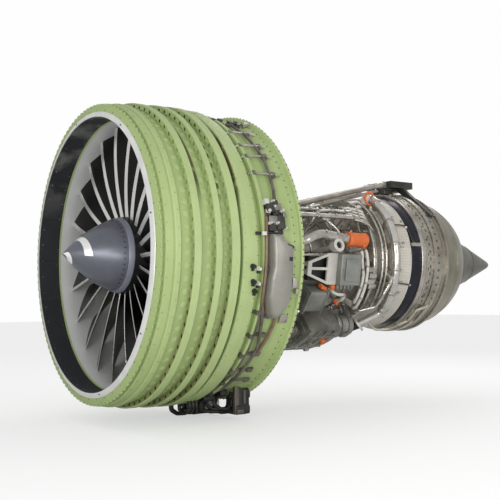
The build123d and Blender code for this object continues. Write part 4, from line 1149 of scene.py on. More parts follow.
coreRuns = {
    # finish, radius and the lines of each piece, as points of (station, angle, distance from the shaft)
    "steelTubes": (tubeSteel, 0.017, (
        ((2.64, 22, 0.7), (2.71, 31, 0.95), (2.81, 37, 0.965), (3.09, 39, 0.965), (3.27, 38, 0.965),
         (3.45, 42, 0.94), (3.56, 44, 0.7)),
        ((2.86, 38, 0.56), (2.9, 34, 0.8), (2.92, 30, 0.93), (2.98, 25, 0.95), (3.07, 19, 0.94),
         (3.08, 8, 0.8), (3.06, 2, 0.52)),
        ((3.25, 34, 0.68), (3.25, 34, 0.93), (3.48, 30, 0.96), (3.6, 27, 0.96), (3.72, 24, 0.88),
         (3.74, 24, 0.82)),
        ((1.84, 20, 0.52), (2.0, 20, 0.62), (2.3, 24, 0.64), (2.56, 26, 0.64), (2.7, 24, 0.52)),
        ((1.84, -12, 0.52), (1.98, -12, 0.64), (2.28, -14, 0.66), (2.46, -20, 0.66), (2.56, -24, 0.52)),
        ((1.84, 62, 0.52), (2.0, 62, 0.64), (2.5, 66, 0.66), (3.02, 66, 0.68), (3.1, 66, 0.52)),
        ((1.84, 118, 0.52), (2.0, 118, 0.66), (2.7, 122, 0.7), (3.3, 122, 0.76), (3.42, 122, 0.67)),
        ((1.84, 200, 0.52), (2.0, 200, 0.64), (2.6, 196, 0.68), (3.2, 196, 0.74), (3.3, 196, 0.67)),
        ((3.66, 60, 0.69), (3.66, 58, 0.88), (3.66, 50, 0.89), (3.66, -48, 0.89), (3.66, -56, 0.88),
         (3.66, -58, 0.69)),
        ((3.8, 64, 0.83), (3.8, 62, 0.89), (3.8, 54, 0.9), (3.8, -50, 0.9), (3.8, -54, 0.83)),
        ((3.856, 48, 0.84), (3.856, 46, 0.905), (3.856, 40, 0.915), (3.856, -34, 0.915), (3.856, -38, 0.84)),
        ((1.84, 34, 0.52), (1.96, 34, 0.7), (2.3, 38, 0.78), (2.7, 46, 0.86), (3.0, 50, 0.9),
         (3.15, 52, 0.67)),
        ((1.84, 48, 0.52), (1.92, 48, 0.66), (2.2, 44, 0.76), (2.62, 40, 0.82), (2.98, 56, 0.86),
         (3.18, 58, 0.67)),
        ((2.15, 10, 0.52), (2.16, 12, 0.7), (2.42, 20, 0.78), (2.64, 16, 0.82), (2.7, 2, 0.78),
         (2.72, -2, 0.52)),
        ((3.44, 60, 0.67), (3.44, 58, 0.82), (3.52, 48, 0.9), (3.7, 46, 0.9), (3.75, 46, 0.83)),
    )),
    "whiteTubes": (tubeWhite, 0.021, (
        ((3.4, 7, 0.7), (3.4, 7, 0.94), (3.39, -4, 0.95), (3.43, -14, 0.95), (3.43, -26, 0.95),
         (3.44, -40, 0.93), (3.42, -46, 0.7)),
        ((3.49, 7, 0.7), (3.48, 7, 0.93), (3.49, -4, 0.95), (3.5, -20, 0.95), (3.5, -34, 0.95),
         (3.51, -46, 0.93), (3.52, -52, 0.7)),
        ((2.98, -27, 0.86), (2.99, -29, 0.985), (3.11, -29, 1.0), (3.16, -29, 0.985), (3.17, -35, 0.96),
         (3.18, -40, 0.88)),
    )),
    "shortTubes": (tubeWhite, 0.014, (
        ((3.32, 37, 0.66), (3.33, 37, 0.9), (3.6, 34, 0.9), (3.74, 32, 0.84)),
        ((3.33, 40.5, 0.66), (3.35, 40.5, 0.91), (3.62, 37, 0.91), (3.74, 35, 0.84)),
        ((3.34, 44, 0.66), (3.37, 44, 0.915), (3.64, 40, 0.915), (3.74, 38, 0.84)),
        ((3.35, 47.5, 0.66), (3.39, 47.5, 0.92), (3.65, 43, 0.92), (3.74, 41, 0.84)),
    )),
    "drainTubes": (tubeCream, 0.02, (
        ((4.19, -78, 0.92), (4.25, -76, 1.0), (4.43, -73, 1.01), (4.49, -63, 1.01), (4.57, -56, 1.02),
         (4.54, -43, 1.03), (4.72, -39, 1.03), (4.74, -39, 0.99)),
    )),
    "thinLines": (mountDark, 0.009, (
        ((4.03, 31, 0.9), (4.04, 30, 0.925), (4.2, 30, 0.93), (4.31, 29, 0.945), (4.33, 14, 0.955),
         (4.4, 12, 0.975)),
        ((3.74, -20, 0.85), (3.9, -20, 0.89), (4.1, -21, 0.93), (4.3, -22, 0.95)),
        ((2.42, -30, 0.52), (2.44, -30, 0.78), (2.52, -46, 0.9), (2.64, -58, 0.96), (2.69, -62, 0.96)),
        ((1.84, -36, 0.52), (1.9, -36, 0.7), (2.3, -42, 0.76), (2.56, -56, 0.94), (2.69, -66, 1.0)),
        ((1.84, -48, 0.52), (1.92, -48, 0.72), (2.32, -56, 0.82), (2.56, -68, 0.98), (2.69, -74, 1.06)),
        ((1.84, 26, 0.52), (1.9, 27, 0.64), (2.24, 33, 0.7), (2.7, 36, 0.88), (3.02, 46, 0.94),
         (3.3, 50, 0.9), (3.44, 50, 0.67)),
        ((1.84, 4, 0.52), (1.92, 4, 0.6), (2.3, 2, 0.64), (2.5, -4, 0.64), (2.56, -6, 0.52)),
        ((1.84, 56, 0.52), (1.94, 56, 0.62), (2.4, 54, 0.7), (2.9, 62, 0.8), (3.16, 64, 0.67)),
        ((3.24, 26, 0.67), (3.25, 27, 0.82), (3.42, 22, 0.88), (3.56, 18, 0.88), (3.68, 14, 0.8),
         (3.7, 14, 0.67)),
    )),
    "lowTubes": (tubeSteel, 0.024, (
        ((3.56, -54, 0.7), (3.6, -48, 0.94), (3.76, -40, 1.01), (3.8, -28, 1.02), (3.88, -16, 1.02),
         (3.88, -12, 0.88)),
        ((3.23, -80, 0.94), (3.42, -78, 0.94), (3.56, -74, 0.86), (3.66, -70, 0.68)),
        ((3.23, -106, 0.94), (3.42, -106, 0.94), (3.56, -110, 0.86), (3.66, -110, 0.68)),
        ((3.23, -132, 0.94), (3.4, -138, 0.94), (3.56, -150, 0.86), (3.64, -156, 0.68)),
        ((2.69, -84, 0.94), (2.5, -84, 0.9), (2.2, -86, 0.76), (1.95, -86, 0.64), (1.84, -86, 0.52)),
        ((2.69, -108, 0.94), (2.5, -108, 0.9), (2.2, -106, 0.76), (1.95, -106, 0.64), (1.84, -106, 0.52)),
    )),
}
clampSizes = {
    # angle, distance from the shaft and half thickness of each held tube, and the stations of the clamps
    "tubes": ((33, 0.96, 0.03), (43, 0.9, 0.022), (1, 0.85, 0.018), (147, 0.96, 0.03), (180, 0.88, 0.022),
              (208, 0.9, 0.022)),
    "stations": (2.42, 2.76, 3.06, 3.36), "clipPitch": 0.21,
}


def coreTubes():
    s = clampSizes
    held = []
    for name, (finish, radius, lines) in coreRuns.items():
        runs = [route(*line) for line in lines]
        place(name, pipeRuns(finish, runs, radius, 0.07, 12))
        held.append(clipRuns(coreMetal, runs, s["clipPitch"], radius + 0.007, 0.026, 0.07, 10))
    place("tubeClips", joined(held), coreMetal)
    clamps = Shape()
    for angle, far, thick in s["tubes"]:
        profile = [(0, thick - 0.004), (0, thick + 0.009), (1, thick + 0.009), (1, thick - 0.004)]
        for x in s["stations"]:
            clamps.drum(spot(x, angle, far), spot(x + 0.032, angle, far), profile, 18)
            clamps.block(x + 0.016, angle, far - thick - 0.04, (0.03, 0.036, 0.046), 0.005)
    place("serviceClamps", clamps, coreMetal)


fittingSizes = {
    # places as station and angle; a third number is a size
    "stack": ((3.56, -10), (3.62, -15), (3.6, -20), (3.64, -24)),
    "shieldTabs": ((4.19, 13.5), (4.06, 34), (4.28, 34), (4.18, -30), (4.18, -60)),
    "valves": (
        (1.9, 8, 0.07), (2.12, -4, 0.09), (2.33, 12, 0.08), (2.72, 52, 0.10), (2.96, 60, 0.08),
        (2.42, 150, 0.10), (2.9, 170, 0.12), (3.02, 205, 0.09), (2.3, 225, 0.11), (2.26, -42, 0.08),
        (2.42, 90, 0.09), (2.8, 100, 0.10),
    ),
    "ring": (2.97, 8),
    "ringProfile": ((0, 0.052), (0, 0.08), (0.75, 0.08), (0.95, 0.086), (1, 0.08), (1, 0.046), (0.7, 0.042)),
    # the caps add the distance from the shaft, the radius and the height
    "caps": ((2.78, -24.0, 0.905, 0.03, 0.075), (2.84, -25.5, 0.905, 0.028, 0.06),
             (2.965, -24.5, 0.905, 0.034, 0.05), (3.02, -34.5, 1.0, 0.026, 0.06),
             (3.05, -64.0, 1.19, 0.04, 0.05)),
}


def coreFittings():
    s = fittingSizes
    small = Shape()
    # a stack of flanged blocks beside the shield, a bracket across the dark band, plates on the casings
    for k, (x, angle) in enumerate(s["stack"]):
        small.block(x, angle, 0.7, (0.09 + 0.03 * (k % 2), 0.07, 0.23), 0.01)
        small.block(x, angle, 0.918, (0.13, 0.052, 0.022), 0.006)
    small.block(4.415, 11.5, turbineFar(4.415) + 0.01, (0.23, 0.05, 0.03), 0.008)
    small.block(4.7, -49, 0.985, (0.12, 0.3, 0.02), 0.006)
    small.block(4.7, -49, 1.0, (0.03, 0.3, 0.036), 0.006)
    for x, angle in s["shieldTabs"]:
        small.block(x, angle, turbineFar(x) + 0.012, (0.04, 0.03, 0.014), 0.004)
    for x, angle, size in s["valves"]:
        small.block(x, angle, 0.5, (size, size * 0.8, 0.06), 0.008)
        profile = [(0, size * 0.30), (0.6, size * 0.30), (0.7, size * 0.22), (1, size * 0.18)]
        small.stub(x, angle, 0.555, 0.6, profile, 16)
    place("coreFittings", small, coreMetal)
    # the white ring fitting on the left side, and a black disc down its bore as painted shade
    x, angle = s["ring"]
    ring = Shape().stub(x, angle, 0.9, 1.01, s["ringProfile"], 32)
    place("ringFitting", ring.block(x, angle, 0.505, (0.06, 0.06, 0.4), 0.008), whitePaint)
    place("ringBore", Shape().stub(x, angle, 0.96, 0.986, [(0, 0.043), (1, 0.043)], 24), hoseBlack)
    caps = Shape()
    for x, angle, low, far, high in s["caps"]:
        caps.stub(x, angle, low, low + high, [(0, far), (0.7, far), (0.9, far * 0.9), (1, far * 0.7)], 20)
    place("transportCaps", caps, orangeCap)


mountSizes = {
    # ends of the left-hand link, mirrored for the other
    "front": (1.834, -0.33, 0.48), "rear": (4.556, -0.15, 1.124), "drop": -0.074,
    "link": ((0, 0.03), (0.02, 0.046), (0.035, 0.046), (0.05, 0.034), (0.95, 0.034), (0.965, 0.046),
             (0.985, 0.046), (1, 0.03)),
    "pin": ((0, 0.014), (0.1, 0.018), (0.9, 0.018), (1, 0.014)), "cheeks": (0.102, 0.09),
    "rod": ((0, 0.012), (0.01, 0.024), (0.985, 0.024), (1, 0.012)), "hangers": (0.06, 0.3, 0.56, 0.8, 0.935),
    "padX": (4.66, 4.96), "padY": (-0.19, 0.19),
}


def mounts():
    # the thrust links, each with a thinner rod slung under it, and the pads of the rear mount
    s = mountSizes
    links, rods = Shape(), Shape()
    drop = Vector((0, 0, s["drop"]))
    for hand in (1, -1):
        start, end = (Vector((x, hand * y, z)) for x, y, z in (s["front"], s["rear"]))
        links.drum(start, end, s["link"], 28)
        for at, tall in zip((start, end), s["cheeks"]):
            links.brick(at, (0.068, 0.048, tall), 0.01)
            links.drum(at + Vector((0, -0.042, 0)), at + Vector((0, 0.042, 0)), s["pin"], 20)
        rods.drum(start.lerp(end, 0.04) + drop, start.lerp(end, 0.955) + drop, s["rod"], 20)
        for share in s["hangers"]:
            at = start.lerp(end, share)
            rods.drum(at, at + drop * 1.1, [(0, 0.016), (1, 0.016)], 12)
    place("thrustLinks", links, linkMetal, "thrust_links")
    place("linkRods", rods, linkMetal)
    pads = Shape()
    for y in s["padY"]:
        for x in s["padX"]:
            pads.drum((x, y, 1.168), (x, y, 1.178), [(0, 0.04), (0.8, 0.04), (1, 0.036)], 24)
    pads.brick((4.81, 0, 1.072), (0.4, 0.3, 0.05), 0.016).brick((4.67, 0, 1.034), (0.17, 0.26, 0.092), 0.014)
    place("mountPads", pads, mountDark)


tankSizes = {
    # both sides of the outline, from the top down, as height and station
    "left": ((0.16, 1.345), (-0.2, 1.35), (-0.33, 1.325), (-0.52, 1.33), (-0.69, 1.4), (-0.756, 1.46)),
    "right": ((0.16, 1.486), (0.08, 1.5), (0.045, 1.612), (-0.56, 1.625), (-0.66, 1.58), (-0.756, 1.5)),
    "base": 1.703, "depth": 0.154, "round": 0.045, "rows": 64, "ends": (0, 0.004, 0.012, 0.025, 0.045),
    "handle": ((1.44, 1.4, 1.8), (1.47, 1.5, 1.836), (1.52, 1.4, 1.848), (1.6, 0.6, 1.848), (1.612, 0.2, 1.8),
               (1.612, 0.0, 1.7)),
}


def alongLine(z, line):
    for (z0, x0), (z1, x1) in zip(line, line[1:]):
        if z1 <= z <= z0:
            return x0 + (x1 - x0) * (z - z0) / (z1 - z0)
    return line[-1][1]


def tank():
    s = tankSizes
    top, bottom = s["left"][0][0], s["left"][-1][0]
    ends, edge = s["ends"], s["round"]
    rows = [top - d for d in ends]
    rows += [top - edge - (top - bottom - 2 * edge) * k / s["rows"] for k in range(1, s["rows"])]
    rows += [bottom + d for d in reversed(ends)]
    verts, faces = [], []
    many = 2 * len(ends) + 1
    for z in rows:
        low, high = alongLine(z, s["left"]), alongLine(z, s["right"])
        half = (high - low) * 0.49
        stops = [low + min(d, half) for d in ends] + [(low + high) / 2]
        stops += [high - min(d, half) for d in reversed(ends)]
        for x in stops:
            inside = min(x - low, high - x, top - z, z - bottom, edge) / edge
            bulge = 0.45 + 0.55 * math.sqrt(max(0, 1 - (1 - inside) ** 2)) if inside >= 1e-4 else 0
            verts.append(Vector((x, -math.sqrt((s["base"] + s["depth"] * bulge) ** 2 - z**2), z)))
    for row in range(len(rows) - 1):
        for i in range(many - 1):
            a = row * many + i
            faces.append([a, a + 1, a + many + 1, a + many])
    last = (len(rows) - 1) * many
    rim = list(range(many)) + [row * many + many - 1 for row in range(1, len(rows))]
    rim += [last + k for k in range(many - 2, -1, -1)] + [row * many for row in range(len(rows) - 2, 0, -1)]
    place("oilTank", Shape().add(verts, faces + [rim]), tankGrey, "oil_tank", crease=50)
    place("tankHandle", pipeRuns(mountDark, [route(*s["handle"])], 0.012, 0.02, 10))
    place("tankPlug", Shape().block(1.555, -3.4, 1.846, (0.044, 0.044, 0.016), 0.004), pipeNavy)


caseRuns = {
    # finish, radius and the lines of each piece, as in coreRuns
    "bracketTubes": (tubeSteel, 0.013, (
        ((1.24, 52, 1.72), (1.27, 52, 1.748), (1.55, 53, 1.748), (1.66, 53, 1.728)),
        ((1.24, 43, 1.72), (1.27, 43, 1.748), (1.56, 44, 1.748), (1.66, 44, 1.728)),
        ((1.24, 37, 1.72), (1.28, 37, 1.748), (1.56, 38, 1.748), (1.66, 38, 1.728)),
        ((1.24, 29, 1.72), (1.29, 29, 1.748), (1.56, 29, 1.748), (1.66, 29, 1.728)),
    )),
    "harnessTubes": (harnessGrey, 0.018, (
        ((1.44, 64, 1.715), (1.45, 60, 1.742), (1.48, 52, 1.748), (1.5, 41, 1.748), (1.52, 36, 1.748),
         (1.51, 29, 1.748), (1.5, 22, 1.748), (1.48, 18, 1.748)),
        ((1.325, -21, 1.74), (1.36, -26, 1.745), (1.43, -38, 1.745), (1.4, -50, 1.745), (1.36, -62, 1.745),
         (1.3, -72, 1.745), (1.29, -82, 1.745)),
        ((1.4, 64, 1.715), (1.4, 80, 1.742), (1.42, 100, 1.742), (1.42, 120, 1.742), (1.4, 132, 1.715)),
    )),
    "thinHarness": (harnessGrey, 0.016, (
        ((1.29, -18, 1.748), (1.3, -24, 1.752), (1.31, -38, 1.752), (1.28, -52, 1.756), (1.215, -62, 1.756),
         (1.2, -76, 1.745)),
        ((1.35, 64, 1.715), (1.35, 80, 1.736), (1.36, 100, 1.736), (1.36, 120, 1.736), (1.35, 132, 1.712)),
    )),
    "brownTubes": (pipeBrown, 0.019, (
        ((1.33, 14, 1.77), (1.3, 6, 1.772), (1.29, -4, 1.772), (1.284, -15, 1.772), (1.29, -19, 1.77),
         (1.37, -24, 1.73)),
        ((1.545, -25, 1.728), (1.54, -28, 1.735), (1.52, -34, 1.735), (1.48, -41, 1.728)),
    )),
}

caseClampSizes = {
    # places as station and angle; the bars run from a first to a second station
    "brackets": ((1.54, 53), (1.56, 44), (1.56, 38), (1.565, 29), (1.29, 52), (1.29, 43), (1.29, 37),
                 (1.3, 29)),
    "bars": ((1.23, 1.36, -23), (1.23, 1.49, -32.5), (1.21, 1.53, -41.5), (1.2, 1.56, -50.5),
             (1.2, 1.64, -58)),
    "topAngles": (78, 90, 102, 114, 126),
    "fittings": ((1.29, 65, 0.06), (1.4, 67, 0.05), (1.5, 64, 0.07), (1.6, 66, 0.04), (1.33, -7.5, 0.05),
                 (1.56, 62, 0.05)),
}


def caseTubes():
    s = caseClampSizes
    for name, (finish, radius, lines) in caseRuns.items():
        place(name, pipeRuns(finish, [route(*line) for line in lines], radius, 0.05, 12))
    clamps = Shape()
    for x, angle in s["brackets"]:
        clamps.block(x, angle, 1.704, (0.046, 0.06, 0.056), 0.006)
    for front, rear, angle in s["bars"]:
        clamps.block((front + rear) / 2, angle, 1.702, (rear - front, 0.036, 0.03), 0.006)
        clamps.block(front + 0.05, angle, 1.725, (0.06, 0.05, 0.048), 0.008)
        clamps.block(rear - 0.06, angle, 1.725, (0.07, 0.044, 0.03), 0.008)
    clamps.block(1.545, -25, 1.702, (0.36, 0.04, 0.03), 0.006)
    for angle in s["topAngles"]:
        clamps.block(1.385, angle, 1.704, (0.11, 0.034, 0.052), 0.006)
    place("caseClamps", clamps, harnessGrey)
    plates = Shape().block(1.665, -26, 1.704, (0.11, 0.11, 0.03), 0.008)
    plates.block(1.7, -12, 1.73, (0.06, 0.11, 0.036), 0.008)
    plates.block(1.74, -15, 1.734, (0.05, 0.06, 0.052), 0.01)
    plates.block(1.66, 62, 1.728, (0.08, 0.07, 0.056), 0.01)
    place("casePlates", plates, coreMetal)
    dark = Shape()
    for x, angle, size in s["fittings"]:
        dark.block(x, angle, 1.704, (size, size * 1.2, 0.058), 0.008)
    place("caseFittings", dark, mountDark)


valveSizes = {
    # station, angle and size of the blocks; the light ones are bare castings
    "darkBlocks": ((1.37, 14.5, (0.1, 0.11, 0.088)), (1.495, 9.4, (0.09, 0.15, 0.084)),
                   (1.372, 7.2, (0.09, 0.07, 0.078)), (1.44, 16.4, (0.06, 0.05, 0.096))),
    "castBlocks": ((1.48, 15.0, (0.09, 0.09, 0.074)), (1.4, 10.2, (0.12, 0.09, 0.07)),
                   (1.54, 12.0, (0.04, 0.06, 0.09)), (1.432, 7.6, (0.05, 0.11, 0.05))),
    # station, angle and radius
    "spools": ((1.44, 12.6, 0.028), (1.45, 7.4, 0.03), (1.33, 11.8, 0.02), (1.5, 12.2, 0.018)),
    "lightPlugs": ((1.345, 13.2, 0.024), (1.425, 14.9, 0.018), (1.44, 9.0, 0.016), (1.53, 13.6, 0.02),
                   (1.345, 8.8, 0.017), (1.42, 16.9, 0.016), (1.545, 7.2, 0.014)),
    # station and angle of the connectors on the band, dark and light in turn
    "bandPlugs": ((1.1, -6.2), (1.175, -7.0), (1.12, -11.4), (1.18, -12.0), (1.15, -14.6)),
    "lightPlug": ((0, 0.026), (0.4, 0.026), (0.45, 0.02), (1, 0.018)),
    "darkPlug": ((0, 0.028), (0.4, 0.028), (0.45, 0.022), (1, 0.02)),
}


def valves():
    s = valveSizes
    base = Shape().block(1.428, 11, 1.704, (0.24, 0.33, 0.03), 0.006)
    bodies = Shape()
    for shape, blocks in ((base, s["darkBlocks"]), (bodies, s["castBlocks"])):
        for x, angle, size in blocks:
            shape.block(x, angle, 1.722, size, 0.01, 0, 3)
    place("valveBodies", bodies, castGrey)
    for x, angle, far in s["spools"]:
        profile = [(0, far), (0.6, far), (0.62, far * 1.25), (0.75, far * 1.25), (0.8, far), (1, far * 0.8)]
        base.stub(x, angle, 1.722, 1.808, profile, 20)
    place("valveCluster", base, mountDark, "valve_block")
    light = Shape().block(1.33, 16.6, 1.722, (0.06, 0.06, 0.092), 0.01)
    light.block(1.24, 5.0, 1.788, (0.06, 0.044, 0.034), 0.008)
    for x, angle, far in s["lightPlugs"]:
        profile = [(0, far), (0.55, far), (0.6, far * 1.3), (0.7, far * 1.3), (0.75, far), (1, far * 0.7)]
        light.stub(x, angle, 1.716, 1.82, profile, 18)
    for x, angle in s["bandPlugs"][1::2]:
        light.stub(x, angle, 1.786, 1.836, s["lightPlug"], 18)
    place("lightConnectors", light, whitePaint)
    dark = Shape().block(1.17, 5.0, 1.788, (0.064, 0.036, 0.026), 0.006)
    for x, angle in s["bandPlugs"][::2]:
        dark.stub(x, angle, 1.786, 1.84, s["darkPlug"], 18)
    for x, angle in s["bandPlugs"]:
        dark.block(x, angle - 1.1, 1.786, (0.03, 0.03, 0.026), 0.004)
    place("darkConnectors", dark, hoseBlack)


undersideSizes = {
    "panel": ((1.3575, 0, -1.7235), (0.285, 0.26, 0.039)), "panelFront": 1.215, "plugs": 3,
    "plug": ((0, 0.046), (0.15, 0.046), (0.18, 0.038), (0.55, 0.038), (0.6, 0.044), (0.75, 0.044),
             (0.8, 0.034), (1, 0.03)),
    # station, angle and size of the blocks round the panel
    "blocks": (
        (1.33, -75, (0.16, 0.14, 0.09)), (1.47, -72, (0.1, 0.18, 0.07)), (1.23, -68, (0.06, 0.12, 0.08)),
        (1.56, -80, (0.08, 0.12, 0.06)), (1.33, -104, (0.16, 0.16, 0.08)), (1.45, -110, (0.1, 0.14, 0.06)),
    ),
    # hoses that hang between fittings
    "hoses": (
        [(1.23, -0.08, -1.7), (1.23, -0.08, -1.88), (1.33, -0.14, -1.905), (1.56, -0.22, -1.89),
         (1.62, -0.24, -1.69)],
        [(1.3, -0.16, -1.7), (1.3, -0.16, -1.85), (1.42, -0.2, -1.885), (1.64, -0.33, -1.9),
         (1.74, -0.37, -1.87), (1.75, -0.38, -1.68)],
        [(1.38, 0.06, -1.7), (1.38, 0.06, -1.87), (1.46, 0.0, -1.91), (1.66, -0.16, -1.905),
         (1.76, -0.24, -1.87), (1.765, -0.25, -1.7)],
        [(1.45, -0.26, -1.69), (1.45, -0.26, -1.82), (1.52, -0.3, -1.86), (1.69, -0.42, -1.86),
         (1.77, -0.45, -1.8), (1.775, -0.45, -1.68)],
        [(1.08, -0.24, -1.75), (1.08, -0.24, -1.85), (1.15, -0.22, -1.89), (1.24, -0.16, -1.88),
         (1.25, -0.15, -1.7)],
        [(1.02, -0.16, -1.76), (1.02, -0.16, -1.84), (1.12, -0.14, -1.9), (1.28, -0.1, -1.91),
         (1.29, -0.1, -1.7)],
        [(1.06, -0.06, -1.76), (1.06, -0.06, -1.86), (1.16, -0.04, -1.915), (1.33, 0.0, -1.915),
         (1.34, 0.0, -1.7)],
        [(1.5, -0.34, -1.67), (1.5, -0.34, -1.8), (1.56, -0.4, -1.85), (1.64, -0.48, -1.85),
         (1.65, -0.5, -1.6)],
    ),
    # middle and size of the blocks that join them
    "joints": (
        (1.33, -0.14, -1.885, (0.11, 0.09, 0.06)), (1.56, -0.22, -1.88, (0.09, 0.08, 0.07)),
        (1.64, -0.33, -1.888, (0.1, 0.08, 0.07)), (1.46, -0.02, -1.895, (0.09, 0.08, 0.07)),
        (1.3, -0.15, -1.78, (0.12, 0.16, 0.15)), (1.69, -0.4, -1.845, (0.08, 0.09, 0.06)),
        (1.705, -0.66, -1.72, (0.15, 0.09, 0.32)), (1.69, -0.5, -1.87, (0.15, 0.3, 0.07)),
        (1.18, -0.19, -1.87, (0.08, 0.11, 0.07)), (1.41, -0.16, -1.83, (0.09, 0.14, 0.13)),
        (1.735, -0.65, -1.65, (0.11, 0.13, 0.12)), (1.69, -0.65, -1.84, (0.2, 0.12, 0.11)),
        (1.62, -0.56, -1.76, (0.08, 0.1, 0.09)),
    ),
    "ferrule": ((0, 0.024), (0.6, 0.024), (0.7, 0.02), (1, 0.02)),
    "strut": (((1.605, -0.67, -1.725), (0.06, 0.05, 0.33), 0.008),
              ((1.64, -0.7, -1.86), (0.09, 0.04, 0.05), 0.008),
              ((1.7, -0.706, -1.69), (0.03, 0.03, 0.16), 0.006)),
}


def underside():
    # the connector panel under the case and what is bolted round it
    s = undersideSizes
    at, size = s["panel"]
    panel = Shape().brick(at, size, 0.006)
    for k in range(s["plugs"]):
        x = s["panelFront"] + size[0] * (k + 0.5) / s["plugs"]
        panel.drum((x, 0, -1.74), (x, 0, -1.837), s["plug"], 28)
    for x in (1.235, 1.48):
        for y in (-0.11, 0.11):
            panel.drum((x, y, -1.74), (x, y, -1.756), [(0, 0.012), (0.8, 0.012), (1, 0.008)], 8)
    place("connectorPanel", panel, hoseBlack, "connector_plate")
    lumps = Shape()
    for x, angle, size in s["blocks"]:
        lumps.block(x, angle, 1.704, size, 0.014, 0, 3)
    place("lowBlocks", lumps, hoseBlack)
    place("lowHoses", pipeRuns(hoseBlack, s["hoses"], 0.022, 0.06, 12))
    joints = Shape()
    for x, y, z, size in s["joints"]:
        joints.brick((x, y, z), size, 0.014 if size[2] < 0.1 else 0.03)
    place("hoseJoints", joints, hoseBlack)
    ferrules = Shape()
    for k in range(3):
        ferrules.stub(1.05 + 0.045 * k, -73, 1.788, 1.828, s["ferrule"], 18)
    place("hoseFerrules", ferrules, hoseBlack)
    strut = Shape()
    for at, size, bevel in s["strut"]:
        strut.brick(at, size, bevel)
    place("lowStrut", strut, slotGrey)


# the far side of the fan case


rightSizes = {
    "boxes": ((1.36, 196, (0.22, 0.3, 0.07)), (1.33, 222, (0.18, 0.22, 0.066)),
              (1.56, 158, (0.12, 0.18, 0.054))),
    "plug": ((0, 0.02), (0.6, 0.02), (0.65, 0.015), (1, 0.013)),
    "clampAngles": (140, 150, 160, 170, 180, 212, 236, 250, 262),
    "tubes": (
        ((1.38, 130, 1.715), (1.38, 134, 1.742), (1.4, 160, 1.742), (1.4, 182, 1.742), (1.4, 188, 1.715)),
        ((1.43, 130, 1.715), (1.43, 136, 1.742), (1.45, 170, 1.742), (1.44, 205, 1.742), (1.44, 240, 1.742),
         (1.4, 262, 1.715)),
        ((1.48, 204, 1.715), (1.49, 208, 1.736), (1.5, 235, 1.736), (1.49, 258, 1.736), (1.48, 262, 1.712)),
    ),
    "branches": ((1.24, 150), (1.24, 170), (1.24, 212), (1.24, 236)),
}


def rightSide():
    s = rightSizes
    boxes = Shape()
    for x, angle, size in s["boxes"]:
        boxes.block(x, angle, 1.708, size, 0.012, 0, 3)
        boxes.block(x, angle, 1.708, (size[0] + 0.05, size[1] - 0.08, 0.016), 0.005)
        boxes.block(x, angle, 1.704 + size[2], (size[0] * 0.6, size[1] * 0.6, 0.014), 0.005)
        for side in (-1, 1):
            at = spot(x + side * size[0] * 0.25, angle + 7.5, 1.74)
            boxes.drum(at, at + spot(0, angle + 90, 0.05), s["plug"], 14)
    place("rightBoxes", boxes, unitGrey)
    place("rightTubes", pipeRuns(harnessGrey, [route(*line) for line in s["tubes"]], 0.016, 0.05, 12))
    clamps = Shape()
    for angle in s["clampAngles"]:
        clamps.block(1.43, angle, 1.704, (0.15, 0.03, 0.05), 0.006)
    place("rightClamps", clamps, harnessGrey)
    arms = []
    for x, angle in s["branches"]:
        arms.append(route((x, angle, 1.72), (x + 0.04, angle, 1.748), (1.56, angle, 1.748),
                          (1.66, angle, 1.726)))
    place("rightArms", pipeRuns(tubeSteel, arms, 0.013, 0.03, 12))


# finishes on the nodes that stay as they are


def dressNodes():
    finishes = (
        (coreMetal, ("flow_splitter", "fan_hub_frame", "compressor_case", "combustor_case", "booster_rotor",
                     "compressor_rotor")),
        (caseMetal, ("turbine_case", "turbine_rear_frame", "fan_turbine_rotor", "turbine_blades",
                     "core_turbine_disk")),
        (tubeSteel, ("fuel_nozzles", "shaft_bearings", "bleed_duct", "drain_mast", "service_tubes",
                     "fan_shaft")),
        (mountDark, ("rear_mount_beam", "mount_hangers", "front_mount")),
        (stripGrey, ("outlet_vanes",)), (whitePaint, ("control_bracket",)), (green, ("harness_raceway",)),
        (shieldCream, ("turbine_shield",)), (hoseBlack, ("supply_hoses",)),
    )
    for finish, names in finishes:
        for name in names:
            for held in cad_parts[name].material_slots:
                held.material = finish


# camera, light and floor


cameraSizes = {
    "place": (-3.831, -8.958, -0.583), "yaw": 34.325, "pitch": 3.684, "roll": -0.572,
    "focalPixels": 828.491, "imagePixels": 500, "sensor": 36,
}


def camera():
    s = cameraSizes
    yaw, pitch, roll = (math.radians(s[key]) for key in ("yaw", "pitch", "roll"))
    ahead = Vector((math.sin(yaw) * math.cos(pitch), math.cos(yaw) * math.cos(pitch), math.sin(pitch)))
    right = ahead.cross(Vector((0, 0, 1))).normalized()
    up = right.cross(ahead)
    right, up = right * math.cos(roll) + up * math.sin(roll), up * math.cos(roll) - right * math.sin(roll)
    lens = bpy.data.cameras.new("photoCamera")
    lens.sensor_width = s["sensor"]
    lens.lens = s["focalPixels"] * s["sensor"] / s["imagePixels"]
    lens.clip_end = 200
    eye = bpy.data.objects.new("photoCamera", lens)
    eye.matrix_world = Matrix.Translation(s["place"]) @ Matrix((right, up, -ahead)).transposed().to_4x4()
    bpy.context.collection.objects.link(eye)
    bpy.context.scene.camera = eye


lightSizes = {
    # name: place, aimed at, size, watts
    "keyPanel": ((-7.5, -8.5, 1.0), (1.5, 0, 0), 4.0, 380),
    "lowPanel": ((-4.5, -9.5, -0.8), (0.8, 0, -1.0), 2.0, 140),
    "sidePanel": ((3.5, -11.0, 1.0), (2.5, 0, 0), 4.0, 190),
    "rearPanel": ((9.0, 4.0, 6.0), (3.0, 0, 0), 5.0, 180),
}
roomSizes = {"shine": 0.61, "backdrop": 0.99, "floorBounce": 0.82, "floorSeen": 0.50, "floorGlow": 0.52}


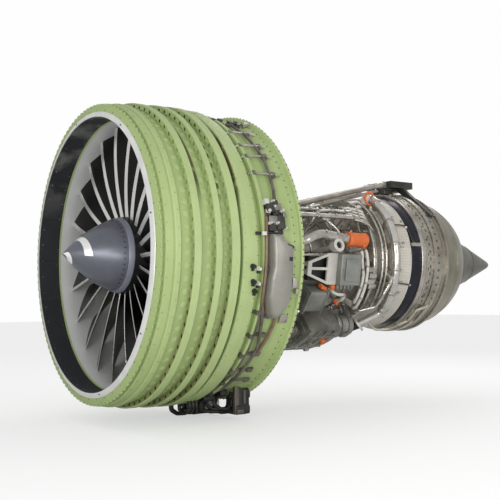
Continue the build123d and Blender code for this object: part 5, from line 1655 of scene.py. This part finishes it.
def studio():
    for name, (spotAt, aim, size, watts) in lightSizes.items():
        lamp = bpy.data.lights.new(name, "AREA")
        lamp.size, lamp.energy = size, watts
        stand = bpy.data.objects.new(name, lamp)
        stand.location = spotAt
        stand.rotation_euler = (Vector(aim) - Vector(spotAt)).to_track_quat("-Z", "Y").to_euler()
        bpy.context.collection.objects.link(stand)
    world = bpy.data.worlds.new("paleRoom")
    world.use_nodes = True
    room = Tree(world.node_tree)
    seen = room.node("ShaderNodeLightPath", out="Is Camera Ray")
    strength = seen * (roomSizes["backdrop"] - roomSizes["shine"]) + roomSizes["shine"]
    room.links.new(strength.socket, world.node_tree.nodes["Background"].inputs["Strength"])
    world.node_tree.nodes["Background"].inputs["Color"].default_value = (1, 1, 1, 1)
    bpy.context.scene.world = world
    floorFinish = Finish("paleFloor")
    seen = floorFinish.node("ShaderNodeLightPath", out="Is Camera Ray")
    shades = [(roomSizes[key],) * 3 + (1,) for key in ("floorBounce", "floorSeen")]
    glow = floorFinish.mix(seen, (0, 0, 0, 1), (1, 1, 1, 1))
    floorFinish.done(
        Base_Color=floorFinish.mix(seen, *shades), Roughness=0.9, Emission_Color=glow,
        Emission_Strength=roomSizes["floorGlow"],
    )
    sheet = Shape().add([(-60, -60, 0), (60, -60, 0), (60, 60, 0), (-60, 60, 0)], [[0, 1, 2, 3]])
    sheet.verts = [v + Vector((2, 0, cadLow[2] - 0.01)) for v in sheet.verts]
    floor = bpy.data.objects.new("floor", sheet.mesh("floor", floorFinish.material))
    bpy.context.collection.objects.link(floor)
    bpy.context.scene.view_settings.view_transform = "Standard"


camera()
studio()
dressNodes()
print("camera, light and bare nodes done")
caseShell()
caseHoops()
caseLattice()
caseFasteners()
intake()
print("fan case done")
fan()
nose()
print("fan done")
coreDressing()
turbineDressing()
exhaust()
manifold()
print("core casings done")
gearbox()
gearUnits()
boxes()
coreTubes()
coreFittings()
mounts()
print("core equipment done")
tank()
caseTubes()
valves()
underside()
rightSide()
print("case equipment done")
